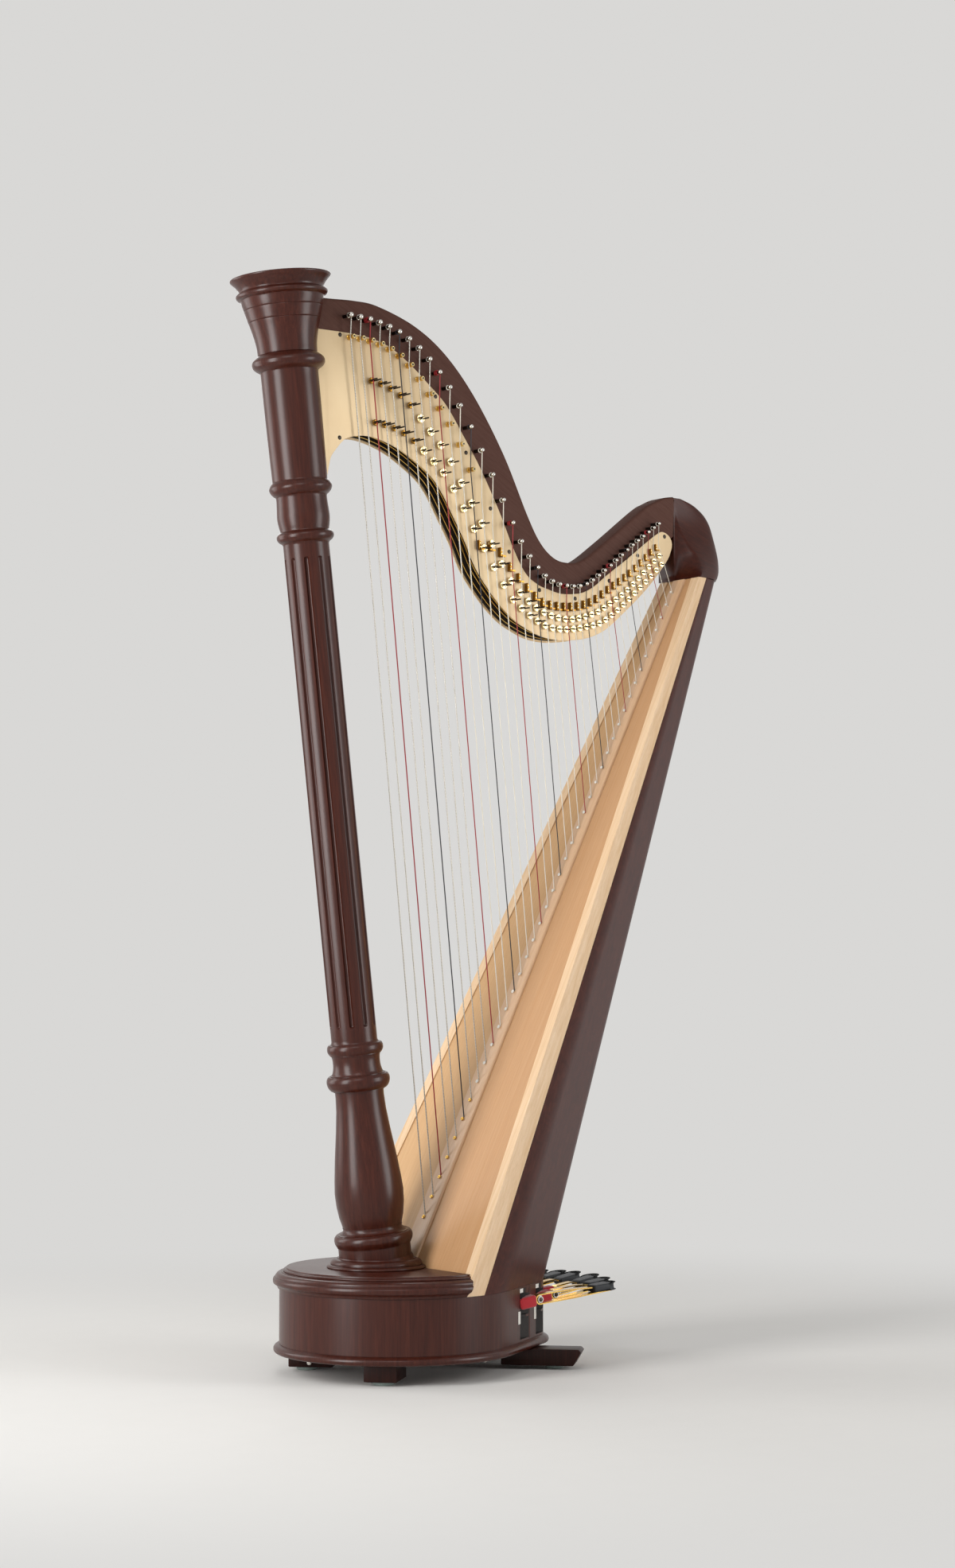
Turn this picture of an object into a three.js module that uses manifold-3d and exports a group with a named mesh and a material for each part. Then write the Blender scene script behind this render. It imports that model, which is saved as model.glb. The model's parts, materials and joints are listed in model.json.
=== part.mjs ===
// Pedal harp with forty strings. Lengths are in millimetres and Z points up.
// X runs from the column to the player, and the strings hang on the -Y side of the neck.
import * as THREE from 'three';
import { mergeGeometries, mergeVertices } from 'three/addons/utils/BufferGeometryUtils.js';
import Module from 'manifold-3d';

const wasm = await Module();
wasm.setup();

// Fits shared by the whole harp
const seam = 0.3;            // gap left between two pieces that touch
const runningGap = 0.5;      // clearance round a pin that turns
const overrun = 4;           // how far a cutter passes the face that it cuts
const sink = 0.6;            // how deep a fitting is let into the piece that carries it
const roundSides = 22;       // facets round the column
const smallSides = 8;        // facets round a small shaft
const trimSides = 5;         // facets round the smallest repeated fittings
const holeSides = 14;

// Base: plan of two circles joined by straight flanks
const baseFrontRadius = 188;
const baseFrontX = 42.5;
const baseRearRadius = 78;
const baseRearX = 239;
const frontSteps = 9;        // facets of half the plan, along the front arc and flank
const rearSteps = 5;
const padHeight = 6;
const footDepth = 26.4;
const bottomBoard = 14;
const boxHeight = 87;
const boxWall = 12;
const topBoard = 33;
const mouldingOverhang = 9;

// Heights that follow from the stack of the base
const footZ = padHeight + seam;
const bottomZ = footZ + footDepth + seam;
const boxZ = bottomZ + bottomBoard + seam;
const boxTopZ = boxZ + boxHeight;
const topZ = boxTopZ + seam;
const deckZ = topZ + topBoard;

// Feet and pads
// The inset is how far the foot's own origin stands inside the front or rear circle of the plan.
const frontFoot = { inset: 50, angle: 132, width: 52, depth: 72, turn: 137, padRadius: 17, padOut: 10 };
const rearFoot = {
  inset: 15.8, angle: 115.7, width: 50, run: 130, turn: 44.5, tip: 13, padRadius: 14, padOut: 84,
};

// Sound box: straight taper from the base to the shoulder
const boardFootX = 62;       // soundboard face at the height of the deck
const boardSlopeShare = 0.502; // run of the soundboard as a share of its height
const bodyTopZ = 1322;
const bodyTopHalfWidth = 52;
const bodyTopRearRadius = 40;
const bodyTopRun = 26;       // from the board to the middle of the rear arc, at the top
const shellWall = 6;
const boardThickness = 6;
const railFootWidth = 30;
const railTopWidth = 12;
const railWall = 9;
const stripWidth = 20;
const stripThickness = 2;
const bindingWall = 3;
const railSteps = 3;
const barWidth = 30;
const barThickness = 9;
// Heights and half heights are shares of the sound box, half widths shares of its half width at the top.
const soundHoleShares = [
  { height: 0.165, halfHeight: 0.057, halfWidth: 0.635 },
  { height: 0.371, halfHeight: 0.052, halfWidth: 0.577 },
  { height: 0.556, halfHeight: 0.046, halfWidth: 0.5 },
  { height: 0.716, halfHeight: 0.04, halfWidth: 0.423 },
  { height: 0.851, halfHeight: 0.032, halfWidth: 0.346 },
];

// Column: leans away from the player, hollow for the pedal rods
const columnFootX = 2.8;
const columnLean = Math.atan(0.1203);
const shaftRadius = 36.8;
const boreRadius = 22.5;
const footTurning = 368;
const shaftLength = 785;
const headTurning = 307;
const capitalHeight = 124;
const boreStop = 150;        // solid wood left above the bore, inside the head
const fluteCount = 10;
const fluteRadius = 5;
const fluteDepth = 3;
const fluteMargin = 18;

// Turned profiles: height share of the section, radius share of the shaft
const footProfileShares = [
  [-0.06, 2.12], [0.005, 2.12], [0.015, 1.93], [0.035, 1.91], [0.045, 1.6], [0.105, 1.59], [0.115, 1.66],
  [0.133, 1.7], [0.15, 1.65], [0.158, 1.45], [0.178, 1.27], [0.22, 1.38], [0.315, 1.495], [0.42, 1.41],
  [0.52, 1.3], [0.63, 1.14], [0.75, 1.054], [0.78, 1.15], [0.8, 1.33], [0.817, 1.37], [0.833, 1.33],
  [0.848, 1.12], [0.9, 1.035], [0.93, 1.08], [0.944, 1.2], [0.957, 1.217], [0.97, 1.2], [0.982, 1.06],
  [1, 1],
];
const headProfileShares = [
  [0.03, 1.12], [0.045, 1.22], [0.055, 1.242], [0.068, 1.2], [0.08, 1.06], [0.15, 1.14], [0.22, 1.12],
  [0.265, 1.11], [0.285, 1.27], [0.305, 1.367], [0.325, 1.3], [0.345, 1.21], [0.62, 1.235],
  [0.91, 1.258], [0.93, 1.45], [0.955, 1.585], [0.98, 1.55], [1, 1.3],
];
const capitalProfileShares = [
  [0, 1.29], [0.1, 1.31], [0.2, 1.36], [0.33, 1.46], [0.5, 1.62], [0.62, 1.72], [0.7, 1.79],
  [0.735, 1.8], [0.745, 1.94], [0.775, 2], [0.805, 1.94], [0.83, 1.83], [0.86, 1.86], [0.92, 2],
  [0.965, 2.16], [0.985, 2.19], [1, 2.15],
];

// Neck: set at a small angle so that the treble strings hang over the soundboard
const neckAngle = 2.5;
const neckThickness = 40;
const neckDrop = 132;        // lowest point of the neck's lines, below the top of the sound box
const rimAboveNeck = 20.3;   // the capital's rim stands this far above the neck's lines
const neckSetback = 1.4;     // the wood ends this far in front of the soundboard's face
const neckEdge = 4;
const neckWoodEndShare = 0.889;
const neckPivotShare = 0.624; // height on the neck at which its own frame starts on the column's axis
const neckStations = 34;
const plateThickness = 2.4;
const neckTopShares = [
  [-0.02, 0.985], [0.057, 0.991], [0.117, 0.998], [0.17, 0.994], [0.253, 0.953], [0.324, 0.881],
  [0.393, 0.762], [0.463, 0.591], [0.52, 0.408], [0.551, 0.326], [0.582, 0.283], [0.614, 0.27],
  [0.653, 0.283], [0.716, 0.353], [0.81, 0.468], [0.864, 0.518], [0.889, 0.535],
];
const neckFootShares = [
  [-0.02, 0.79], [0.07, 0.81], [0.14, 0.808], [0.183, 0.796], [0.224, 0.768], [0.27, 0.702],
  [0.322, 0.604], [0.369, 0.481], [0.448, 0.226], [0.49, 0.162], [0.528, 0.117], [0.569, 0.096],
  [0.604, 0.094], [0.658, 0.113], [0.706, 0.162], [0.778, 0.255], [0.838, 0.332], [0.889, 0.396],
];
const plateTopShares = [
  [0, 0.888], [0.074, 0.892], [0.116, 0.892], [0.156, 0.887], [0.197, 0.868], [0.239, 0.828],
  [0.28, 0.777], [0.322, 0.719], [0.361, 0.634], [0.403, 0.534], [0.447, 0.408], [0.482, 0.292],
  [0.511, 0.219], [0.541, 0.187], [0.569, 0.174], [0.596, 0.166], [0.623, 0.168], [0.651, 0.177],
  [0.679, 0.2], [0.713, 0.243], [0.76, 0.298], [0.807, 0.357], [0.84, 0.396], [0.856, 0.407],
];
const plateEndShares = [[0.873, 0.396], [0.881, 0.372], [0.877, 0.342], [0.867, 0.311]];
const plateFootShares = [
  [0.84, 0.257], [0.807, 0.2], [0.759, 0.13], [0.712, 0.068], [0.679, 0.04], [0.651, 0.026],
  [0.623, 0.019], [0.596, 0.015], [0.568, 0.017], [0.541, 0.025], [0.513, 0.042], [0.487, 0.062],
  [0.46, 0.094], [0.433, 0.136], [0.394, 0.213], [0.367, 0.298], [0.338, 0.377], [0.31, 0.449],
  [0.281, 0.496], [0.224, 0.551], [0.178, 0.577], [0.138, 0.585], [0.102, 0.572], [0.089, 0.558],
  [0.076, 0.534], [0.064, 0.506], [0.059, 0.475], [0.053, 0.442], [0.03, 0.43],
];
const bridgeLineShares = [
  [0.06, 0.879], [0.101, 0.879], [0.142, 0.877], [0.187, 0.86], [0.229, 0.821], [0.272, 0.747],
  [0.322, 0.657], [0.369, 0.53], [0.448, 0.268], [0.49, 0.196], [0.528, 0.147], [0.569, 0.125],
  [0.604, 0.123], [0.658, 0.14], [0.706, 0.19], [0.723, 0.206], [0.778, 0.293], [0.838, 0.362],
  [0.88, 0.42],
];
const pinLineShares = [
  [0.054, 0.941], [0.095, 0.941], [0.158, 0.934], [0.221, 0.902], [0.277, 0.838], [0.337, 0.728],
  [0.407, 0.547], [0.475, 0.342], [0.518, 0.249], [0.554, 0.204], [0.592, 0.189], [0.644, 0.2],
  [0.706, 0.27], [0.762, 0.345], [0.835, 0.432], [0.884, 0.49],
];

// Shoulder: outer line of the block that carries the neck on the sound box
const naturalLineShares = [
  [0.141, 0.757], [0.184, 0.745], [0.226, 0.713], [0.269, 0.648], [0.317, 0.569], [0.341, 0.511],
  [0.4, 0.365], [0.464, 0.205], [0.503, 0.142], [0.542, 0.104], [0.582, 0.087], [0.619, 0.085],
  [0.654, 0.099], [0.685, 0.118], [0.717, 0.151], [0.751, 0.188], [0.793, 0.249], [0.822, 0.294],
  [0.86, 0.35],
];
const sharpLineShares = [
  [0.149, 0.629], [0.191, 0.623], [0.233, 0.601], [0.281, 0.545], [0.328, 0.474], [0.4, 0.3],
  [0.467, 0.146], [0.507, 0.095], [0.547, 0.061], [0.585, 0.05], [0.621, 0.054], [0.656, 0.066],
  [0.69, 0.082], [0.724, 0.117], [0.755, 0.158], [0.784, 0.2], [0.815, 0.245], [0.831, 0.27], [0.86, 0.315],
];
const shoulderBackShares = [
  [0, 0.968], [0.15, 0.982], [0.32, 0.993], [0.5, 0.997], [0.66, 0.992], [0.78, 0.98], [0.87, 0.964],
  [0.94, 0.944],
];
const shoulderHeight = 152;
const shoulderFlareShare = 2.3;

// Strings and the fittings that hold and sharpen them
const stringCount = 40;
const firstEyelet = { x: 98.1, z: 241.3 };
const lastEyelet = { x: 623.6, z: 1297.5 };
const spacingBiasShare = 0.165;
const trebleFan = 21;        // how far the last string tops stand short of parallel
const fanStartShare = 0.45;
const stringStandoff = 32.5; // string plane from the middle of the neck
const bassStringRadius = 0.95;
const trebleStringRadius = 0.4;
const ribFootHalfWidth = 22;
const ribTopHalfWidth = 16;
const ribThickness = 4;
const ribStart = 32;         // the rib begins this far above the deck, clear of the column's foot
const pinRadius = 3.2;
const pinNearReach = 42;
const pinFarReach = 36;
const pinSide = 4;
const lastBridgePin = 13;
const bridgePinRadius = 4.2;
const bridgePinReach = 37;
const bracketWidth = 2.6;
const bracketHeight = 9;
const firstFrettedString = 3;
const firstLinkedString = 3;
const linkedStrings = 7;
const lastForkedString = 20; // discs past this string are too small for fork pins of their own
const firstWideDisc = 8;
const narrowDiscRadius = 5.4;
const wideDiscRadius = 7.8;
const trebleDiscRadius = 5;
const discGap = 2.2;
const discThickness = 3.2;
const forkPinRadius = 1.1;
const forkReach = 36.5;
const forkSpreadShare = 0.72;
const spindleRadius = 2.6;
const spindleTail = 7;

// Pedals: levers on one axle, a folding foot arm on each
const pedalNames = ['d', 'c', 'b', 'e', 'f', 'g', 'a'];
const pedalSlotShares = [-0.612, -0.38, -0.149, 0.117, 0.287, 0.463, 0.638];
const pedalSlotY = pedalSlotShares.map((share) => share * baseFrontRadius);
const axleX = -60;
const axleZ = 72;
const axleRadius = 4;
const axleHalfLength = 38;
const axlePost = { width: 14, depth: 22, rise: 12 };
const leverThickness = 3;
const leverHeight = 12;
const leverPitch = 6.4;
const leverEnd = 9;
const pedalRestZ = 112;      // height of a pedal's hinge when it is up
const leverStraightX = 20;    // every lever runs straight from the axle until it is past the rods
const leverBendShares = [0, 0.2, 0.4, 0.5, 0.4, 0.2, 0]; // then the outer levers turn aside first
const leverTailThickness = 8;
const hingeOutset = 31;
const hingePinRadius = 2.7;
const slotWidth = 15;
const slotLowZ = 51;
const slotTopWall = 3;
const notchDepth = 9;
const notchHeight = 34;
const tongueHeight = 3.5;
const strapThickness = 2.2;
const strapHeight = 9;
const strapNoseRadius = 6;
const capArcX = 218;
const capArcRadius = 190;
const capLength = 40;
const capWidth = 26;
const capThickness = 15;
const capClimb = 12;
const rodRadius = 1.75;
const rodTop = 1190;

// Finishes
const mahogany = new THREE.MeshStandardMaterial({ color: '#4e2f30', roughness: 0.35, metalness: 0 });
const darkMahogany = new THREE.MeshStandardMaterial({ color: '#3b2224', roughness: 0.35, metalness: 0 });
const spruce = new THREE.MeshStandardMaterial({ color: '#d2a46c', roughness: 0.45, metalness: 0 });
const maple = new THREE.MeshStandardMaterial({ color: '#e6c6a0', roughness: 0.4, metalness: 0 });
const satinBrass = new THREE.MeshStandardMaterial({ color: '#e9cfa0', roughness: 0.3, metalness: 1 });
const polishedBrass = new THREE.MeshStandardMaterial({ color: '#d8ab4e', roughness: 0.15, metalness: 1 });
const steel = new THREE.MeshStandardMaterial({ color: '#a9abad', roughness: 0.3, metalness: 1 });
const gut = new THREE.MeshStandardMaterial({ color: '#e4ddcc', roughness: 0.5, metalness: 0 });
const rubber = new THREE.MeshStandardMaterial({ color: '#8f9c96', roughness: 0.8, metalness: 0 });

const harp = new THREE.Group();

function radians(degrees) {
  return THREE.MathUtils.degToRad(degrees);
}

// Gives a closed solid for cutting and joining, from the positions alone.
function solid(geometry) {
  const bare = geometry.clone();
  bare.deleteAttribute('normal');
  bare.deleteAttribute('uv');
  const welded = mergeVertices(bare, 1e-4);
  return new wasm.Manifold(new wasm.Mesh({
    numProp: 3,
    vertProperties: new Float32Array(welded.attributes.position.array),
    triVerts: new Uint32Array(welded.index.array),
  }));
}

function geometryOf(manifold) {
  const mesh = manifold.getMesh();
  const geometry = new THREE.BufferGeometry();
  geometry.setAttribute('position', new THREE.BufferAttribute(new Float32Array(mesh.vertProperties), 3));
  geometry.setIndex(new THREE.BufferAttribute(new Uint32Array(mesh.triVerts), 1));
  return geometry;
}

function cut(geometry, ...cutters) {
  let body = solid(geometry);
  for (const cutter of cutters) {
    body = body.subtract(solid(cutter));
  }
  return geometryOf(body);
}

function join(...geometries) {
  let body = solid(geometries[0]);
  for (const geometry of geometries.slice(1)) {
    body = body.add(solid(geometry));
  }
  return geometryOf(body);
}

function place(parent, name, geometry, material) {
  const mesh = new THREE.Mesh(geometry, material.clone());
  mesh.name = name;
  parent.add(mesh);
  return mesh;
}

// Joins equal closed rings of 3-D points into one closed body with flat ends.
function loft(rings) {
  const count = rings[0].length;
  const points = rings.flat();
  const faces = [];
  for (let ring = 0; ring + 1 < rings.length; ring += 1) {
    for (let i = 0; i < count; i += 1) {
      const a = ring * count + i;
      const b = ring * count + (i + 1) % count;
      faces.push(a, b, b + count, a, b + count, a + count);
    }
  }
  const flat = rings[0].map((point) => new THREE.Vector2(point[0], point[1]));
  const last = (rings.length - 1) * count;
  for (const [a, b, c] of THREE.ShapeUtils.triangulateShape(flat, [])) {
    faces.push(a, c, b);
    faces.push(last + a, last + b, last + c);
  }
  const geometry = new THREE.BufferGeometry();
  geometry.setAttribute('position', new THREE.Float32BufferAttribute(points.flat(), 3));
  geometry.setIndex(faces);
  return geometry;
}

// Runs a square bar through a list of points, with its ends square to the first and last stretch.
function bar(points, radius) {
  const rings = points.map((point, i) => {
    const before = points[Math.max(i - 1, 0)];
    const after = points[Math.min(i + 1, points.length - 1)];
    const along = after.clone().sub(before).normalize();
    const side = new THREE.Vector3(0, 1, 0).cross(along).normalize();
    const out = along.clone().cross(side);
    return [0, 1, 2, 3].map((corner) => {
      const angle = Math.PI / 4 + corner * Math.PI / 2;
      return point.clone().addScaledVector(side, radius * Math.cos(angle))
        .addScaledVector(out, radius * Math.sin(angle));
    });
  });
  const faces = [];
  for (let ring = 0; ring + 1 < rings.length; ring += 1) {
    for (let i = 0; i < 4; i += 1) {
      const a = ring * 4 + i;
      const b = ring * 4 + (i + 1) % 4;
      faces.push(a, b, b + 4, a, b + 4, a + 4);
    }
  }
  const last = (rings.length - 1) * 4;
  faces.push(0, 2, 1, 0, 3, 2, last, last + 1, last + 2, last, last + 2, last + 3);
  const geometry = new THREE.BufferGeometry();
  const positions = rings.flat().flatMap((point) => point.toArray());
  geometry.setAttribute('position', new THREE.Float32BufferAttribute(positions, 3));
  geometry.setIndex(faces);
  return geometry;
}

// Plan outline of the two circles and the flanks that join them, on the -Y side first.
// It opens at startX, where the front is trimmed away.
function eggOutline(frontX, frontRadius, rearX, rearRadius, startX) {
  const taper = Math.asin((frontRadius - rearRadius) / (rearX - frontX));
  const frontTangentX = frontX + frontRadius * Math.sin(taper);
  const rearTangentX = rearX + rearRadius * Math.sin(taper);
  const half = [];
  for (let i = 0; i <= frontSteps; i += 1) {
    const x = startX + (rearTangentX - startX) * (1 - Math.cos(Math.PI / 2 * i / frontSteps));
    const flankY = rearRadius * Math.cos(taper) + (rearTangentX - x) * Math.tan(taper);
    const arcY = Math.sqrt(Math.max(frontRadius ** 2 - (x - frontX) ** 2, 0));
    half.push([x, x < frontTangentX ? -arcY : -flankY]);
  }
  for (let i = 1; i <= rearSteps; i += 1) {
    const angle = (Math.PI / 2 - taper) * (1 - i / rearSteps);
    half.push([rearX + rearRadius * Math.cos(angle), -rearRadius * Math.sin(angle)]);
  }
  const mirrored = half.slice(0, -1).reverse().map(([x, y]) => [x, -y]);
  return [...half, ...mirrored];
}

function wholeEgg(grow) {
  const outline = eggOutline(baseFrontX, baseFrontRadius + grow, baseRearX, baseRearRadius + grow,
    baseFrontX - baseFrontRadius - grow);
  return outline.slice(0, -1);
}

// Stacks plan outlines, each grown by its own amount, into a moulded board.
function mouldedBoard(levels) {
  return loft(levels.map(([z, grow]) => wholeEgg(grow).map(([x, y]) => [x, y, z])));
}

const bodyHeight = bodyTopZ - boxTopZ;

function boardX(z) {
  return boardFootX + (z - deckZ) * boardSlopeShare;
}

// Section of the sound box at a height, trimmed at a distance behind the soundboard face.
function bodySection(z, inset, behindFace) {
  const share = (z - boxTopZ) / bodyHeight;
  const mix = (low, high) => low + (high - low) * share;
  return eggOutline(
    mix(baseFrontX, boardX(bodyTopZ)), mix(baseFrontRadius, bodyTopHalfWidth) - inset,
    mix(baseRearX, boardX(bodyTopZ) + bodyTopRun), mix(baseRearRadius, bodyTopRearRadius) - inset,
    boardX(z) + behindFace,
  );
}

function railWidth(z) {
  return railFootWidth + (railTopWidth - railFootWidth) * (z - boxTopZ) / bodyHeight;
}

function slab(width, depth, height) {
  return new THREE.BoxGeometry(width, depth, height);
}

// Cylinder lying along Y, from one y to the other.
function pinAlongY(x, z, radius, fromY, toY, sides = smallSides) {
  const pin = new THREE.CylinderGeometry(radius, radius, toY - fromY, sides);
  return pin.translate(x, (fromY + toY) / 2, z);
}

function plateShape(points) {
  return new THREE.Shape(points.map(([x, y]) => new THREE.Vector2(x, y)));
}

// Extrudes an outline drawn in X and Z so that it spans from one y to the other.
function extrudeAlongY(shape, fromY, toY) {
  const geometry = new THREE.ExtrudeGeometry(shape, { depth: toY - fromY, bevelEnabled: false });
  return geometry.rotateX(Math.PI / 2).translate(0, toY, 0);
}

// Base

function buildBase() {
  const base = new THREE.Group();
  harp.add(base);

  const lip = mouldingOverhang;
  const bottomLevels = [
    [bottomZ, lip * 0.3], [bottomZ + bottomBoard * 0.12, lip * 0.8], [bottomZ + bottomBoard * 0.35, lip],
    [bottomZ + bottomBoard * 0.62, lip * 0.9], [bottomZ + bottomBoard * 0.82, lip * 0.5],
    [bottomZ + bottomBoard, lip * 0.15],
  ];
  const postReach = axleZ + axlePost.rise - (boxZ - seam - sink);
  const posts = [-1, 1].map((side) => slab(axlePost.depth, axlePost.width, postReach).translate(
    axleX, side * (axleHalfLength - axlePost.width / 2), axleZ + axlePost.rise - postReach / 2,
  ));
  const bottom = join(mouldedBoard(bottomLevels), ...posts);
  const axleBore = pinAlongY(axleX, axleZ, axleRadius + seam, -axleHalfLength - overrun,
    axleHalfLength + overrun);
  place(base, 'base_bottom', cut(bottom, axleBore), mahogany);
  place(base, 'pedal_axle', pinAlongY(axleX, axleZ, axleRadius, -axleHalfLength, axleHalfLength), steel);

  const outer = mouldedBoard([[boxZ, 0], [boxTopZ, 0]]);
  const inner = mouldedBoard([[boxZ - overrun, -boxWall], [boxTopZ + overrun, -boxWall]]);
  const slots = pedalSlotY.map((y) => pedalSlot(y));
  place(base, 'base_box', cut(outer, inner, ...slots), mahogany);

  const topLevels = [
    [topZ, lip * 0.25], [topZ + topBoard * 0.1, lip * 0.45], [topZ + topBoard * 0.3, lip * 1.1],
    [topZ + topBoard * 0.48, lip * 1.15], [topZ + topBoard * 0.6, lip * 0.65],
    [topZ + topBoard * 0.8, lip * 0.4], [topZ + topBoard * 0.93, -lip * 0.1], [deckZ, -lip * 0.9],
  ];
  const behind = baseFrontRadius + baseRearX;
  const bodySpace = loft([topZ - overrun, deckZ + overrun].map((z) => [
    [boardX(z) - 2 * seam - stripThickness, -behind, z], [behind * 2, -behind, z], [behind * 2, behind, z],
    [boardX(z) - 2 * seam - stripThickness, behind, z],
  ]));
  const rodHole = new THREE.CylinderGeometry(boreRadius, boreRadius, topBoard * 2, roundSides)
    .rotateX(Math.PI / 2).rotateY(-columnLean)
    .translate(columnFootX + (topBoard / 2) * Math.tan(columnLean), 0, deckZ - topBoard / 2);
  place(base, 'base_top', cut(mouldedBoard(topLevels), bodySpace, rodHole), mahogany);

  for (const [name, side] of [['near', -1], ['far', 1]]) {
    buildFrontFoot(base, name, side);
    buildRearFoot(base, name, side);
  }
}

// Stepped slot: a straight way down with two notches beside it, each under a tongue that holds the pedal.
function pedalSlot(y) {
  const towardsMiddle = y < 0 ? 1 : -1;
  const topOfSlot = boxTopZ - slotTopWall;
  const halfWay = slotWidth / 2;
  const ledge = halfWay + notchDepth;
  const naturalNotchZ = slotLowZ + notchHeight + tongueHeight;
  const outline = [
    [-halfWay, slotLowZ], [ledge, slotLowZ], [ledge, slotLowZ + notchHeight],
    [halfWay, slotLowZ + notchHeight], [halfWay, naturalNotchZ], [ledge, naturalNotchZ],
    [ledge, naturalNotchZ + notchHeight], [halfWay, naturalNotchZ + notchHeight],
    [halfWay, topOfSlot], [-halfWay, topOfSlot],
  ];
  const shape = plateShape(outline.map(([across, z]) => [y + towardsMiddle * across, z]));
  const geometry = new THREE.ExtrudeGeometry(shape, { depth: baseRearRadius * 3, bevelEnabled: false });
  return geometry.rotateX(Math.PI / 2).rotateZ(Math.PI / 2)
    .translate(baseFrontX + baseFrontRadius / 3, 0, 0);
}

function buildFrontFoot(parent, name, side) {
  const foot = new THREE.Group();
  const reach = baseFrontRadius - frontFoot.inset;
  const angle = radians(frontFoot.angle);
  foot.position.set(baseFrontX + reach * Math.cos(angle), side * reach * Math.sin(angle), 0);
  foot.rotation.z = side * radians(frontFoot.turn);
  parent.add(foot);
  const block = slab(frontFoot.depth, frontFoot.width, footDepth).translate(0, 0, footZ + footDepth / 2);
  place(foot, `front_foot_${name}`, block, mahogany);
  const pad = new THREE.CylinderGeometry(frontFoot.padRadius, frontFoot.padRadius, padHeight, 16)
    .rotateX(Math.PI / 2).translate(frontFoot.padOut, 0, padHeight / 2);
  place(foot, `front_pad_${name}`, pad, rubber);
}

function buildRearFoot(parent, name, side) {
  const foot = new THREE.Group();
  const reach = baseRearRadius - rearFoot.inset;
  const angle = radians(rearFoot.angle);
  foot.position.set(baseRearX + reach * Math.cos(angle), side * reach * Math.sin(angle), 0);
  foot.rotation.z = side * radians(rearFoot.turn);
  parent.add(foot);
  const tipDrop = footDepth / 6;
  const sideView = plateShape([
    [0, footZ], [rearFoot.run - rearFoot.tip, footZ], [rearFoot.run, footZ + footDepth - tipDrop],
    [rearFoot.run - tipDrop, footZ + footDepth], [0, footZ + footDepth],
  ]);
  const board = extrudeAlongY(sideView, -rearFoot.width / 2, rearFoot.width / 2);
  place(foot, `rear_foot_${name}`, board, mahogany);
  const pad = new THREE.CylinderGeometry(rearFoot.padRadius, rearFoot.padRadius, padHeight, 16)
    .rotateX(Math.PI / 2).translate(rearFoot.padOut, 0, padHeight / 2);
  place(foot, `rear_pad_${name}`, pad, rubber);
}

// Sound box

function buildBody() {
  const body = new THREE.Group();
  harp.add(body);
  const lowZ = boxTopZ + seam;
  const ends = [lowZ, bodyTopZ];

  const shell = loft(ends.map((z) => {
    const behind = railWidth(z) + boardThickness + seam;
    const outside = bodySection(z, 0, behind);
    const inside = bodySection(z, shellWall, behind).reverse();
    return [...outside, ...inside].map(([x, y]) => [x, y, z]);
  }));
  const holes = soundHoleShares.map((hole) => {
    const z = boxTopZ + bodyHeight * hole.height;
    const halfWidth = bodyTopHalfWidth * hole.halfWidth;
    const section = bodySection(z, 0, 0);
    const rearX = section[(section.length - 1) / 2][0];
    const cutter = new THREE.CylinderGeometry(1, 1, baseRearX, holeSides).rotateZ(Math.PI / 2);
    return cutter.scale(1, halfWidth, bodyHeight * hole.halfHeight)
      .translate(rearX + baseRearX / 2 - shellWall - halfWidth, 0, z);
  });
  place(body, 'body_shell', cut(shell, ...holes), darkMahogany);

  for (const [name, side] of [['near', -1], ['far', 1]]) {
    place(body, `edging_${name}`, loft(ends.map((z) => edgingSection(z, side))), maple);
  }

  const board = loft(ends.map((z) => {
    const half = bodyHalfWidth(z) - bindingWall - seam;
    const front = boardX(z);
    return [[front, -half, z], [front + boardThickness, -half, z], [front + boardThickness, half, z],
      [front, half, z]];
  }));
  place(body, 'soundboard', board, spruce);

  const innerFace = (z) => boardX(z) + boardThickness + seam;
  const barEnds = [deckZ, bodyTopZ - barWidth];
  const innerBar = loft(barEnds.map((z) => [
    [innerFace(z), -barWidth / 2, z], [innerFace(z) + barThickness, -barWidth / 2, z],
    [innerFace(z) + barThickness, barWidth / 2, z], [innerFace(z), barWidth / 2, z],
  ]));
  place(body, 'soundboard_bar', innerBar, maple);
}

function bodyHalfWidth(z) {
  return -bodySection(z, 0, 0)[0][1];
}

// Light edging: a strip on the face of the board, bent round its edge, with the side rail behind.
function edgingSection(z, side) {
  const front = boardX(z);
  const half = bodyHalfWidth(z);
  const faceStrip = seam + stripThickness;
  const behind = boardThickness + seam;
  const railEnd = boardThickness + railWidth(z);
  const shares = Array.from({ length: railSteps + 1 }, (_, i) => i / railSteps);
  const outer = [-faceStrip, ...shares.map((share) => behind + (railEnd - behind) * share)];
  const points = outer.map((back) => bodySection(z, 0, back)[0]);
  for (const share of [...shares].reverse()) {
    points.push(bodySection(z, railWall, behind + (railEnd - behind) * share)[0]);
  }
  points.push(
    [front + behind, bindingWall - half], [front - seam, bindingWall - half],
    [front - seam, stripWidth - half], [front - faceStrip, stripWidth - half],
  );
  const section = points.map(([x, y]) => [x, side * -y, z]);
  return side < 0 ? section : section.reverse();
}

// Column and capital, drawn along their own leaning axis

function lathe(profile, sides = roundSides) {
  const points = profile.map(([height, radius]) => new THREE.Vector2(radius, height));
  return new THREE.LatheGeometry(points, sides).rotateX(Math.PI / 2);
}

function turned(shares, low, height) {
  return shares.map(([heightShare, radiusShare]) => [low + height * heightShare, shaftRadius * radiusShare]);
}

const shaftLow = footTurning;
const headLow = shaftLow + shaftLength;
const capitalLow = headLow + headTurning;
const columnTop = capitalLow + capitalHeight;

function columnProfile(grow) {
  const outline = [
    ...turned(footProfileShares, 0, footTurning), ...turned(headProfileShares, headLow, headTurning),
  ];
  return outline.map(([height, radius]) => [height, radius + grow]);
}

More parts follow.
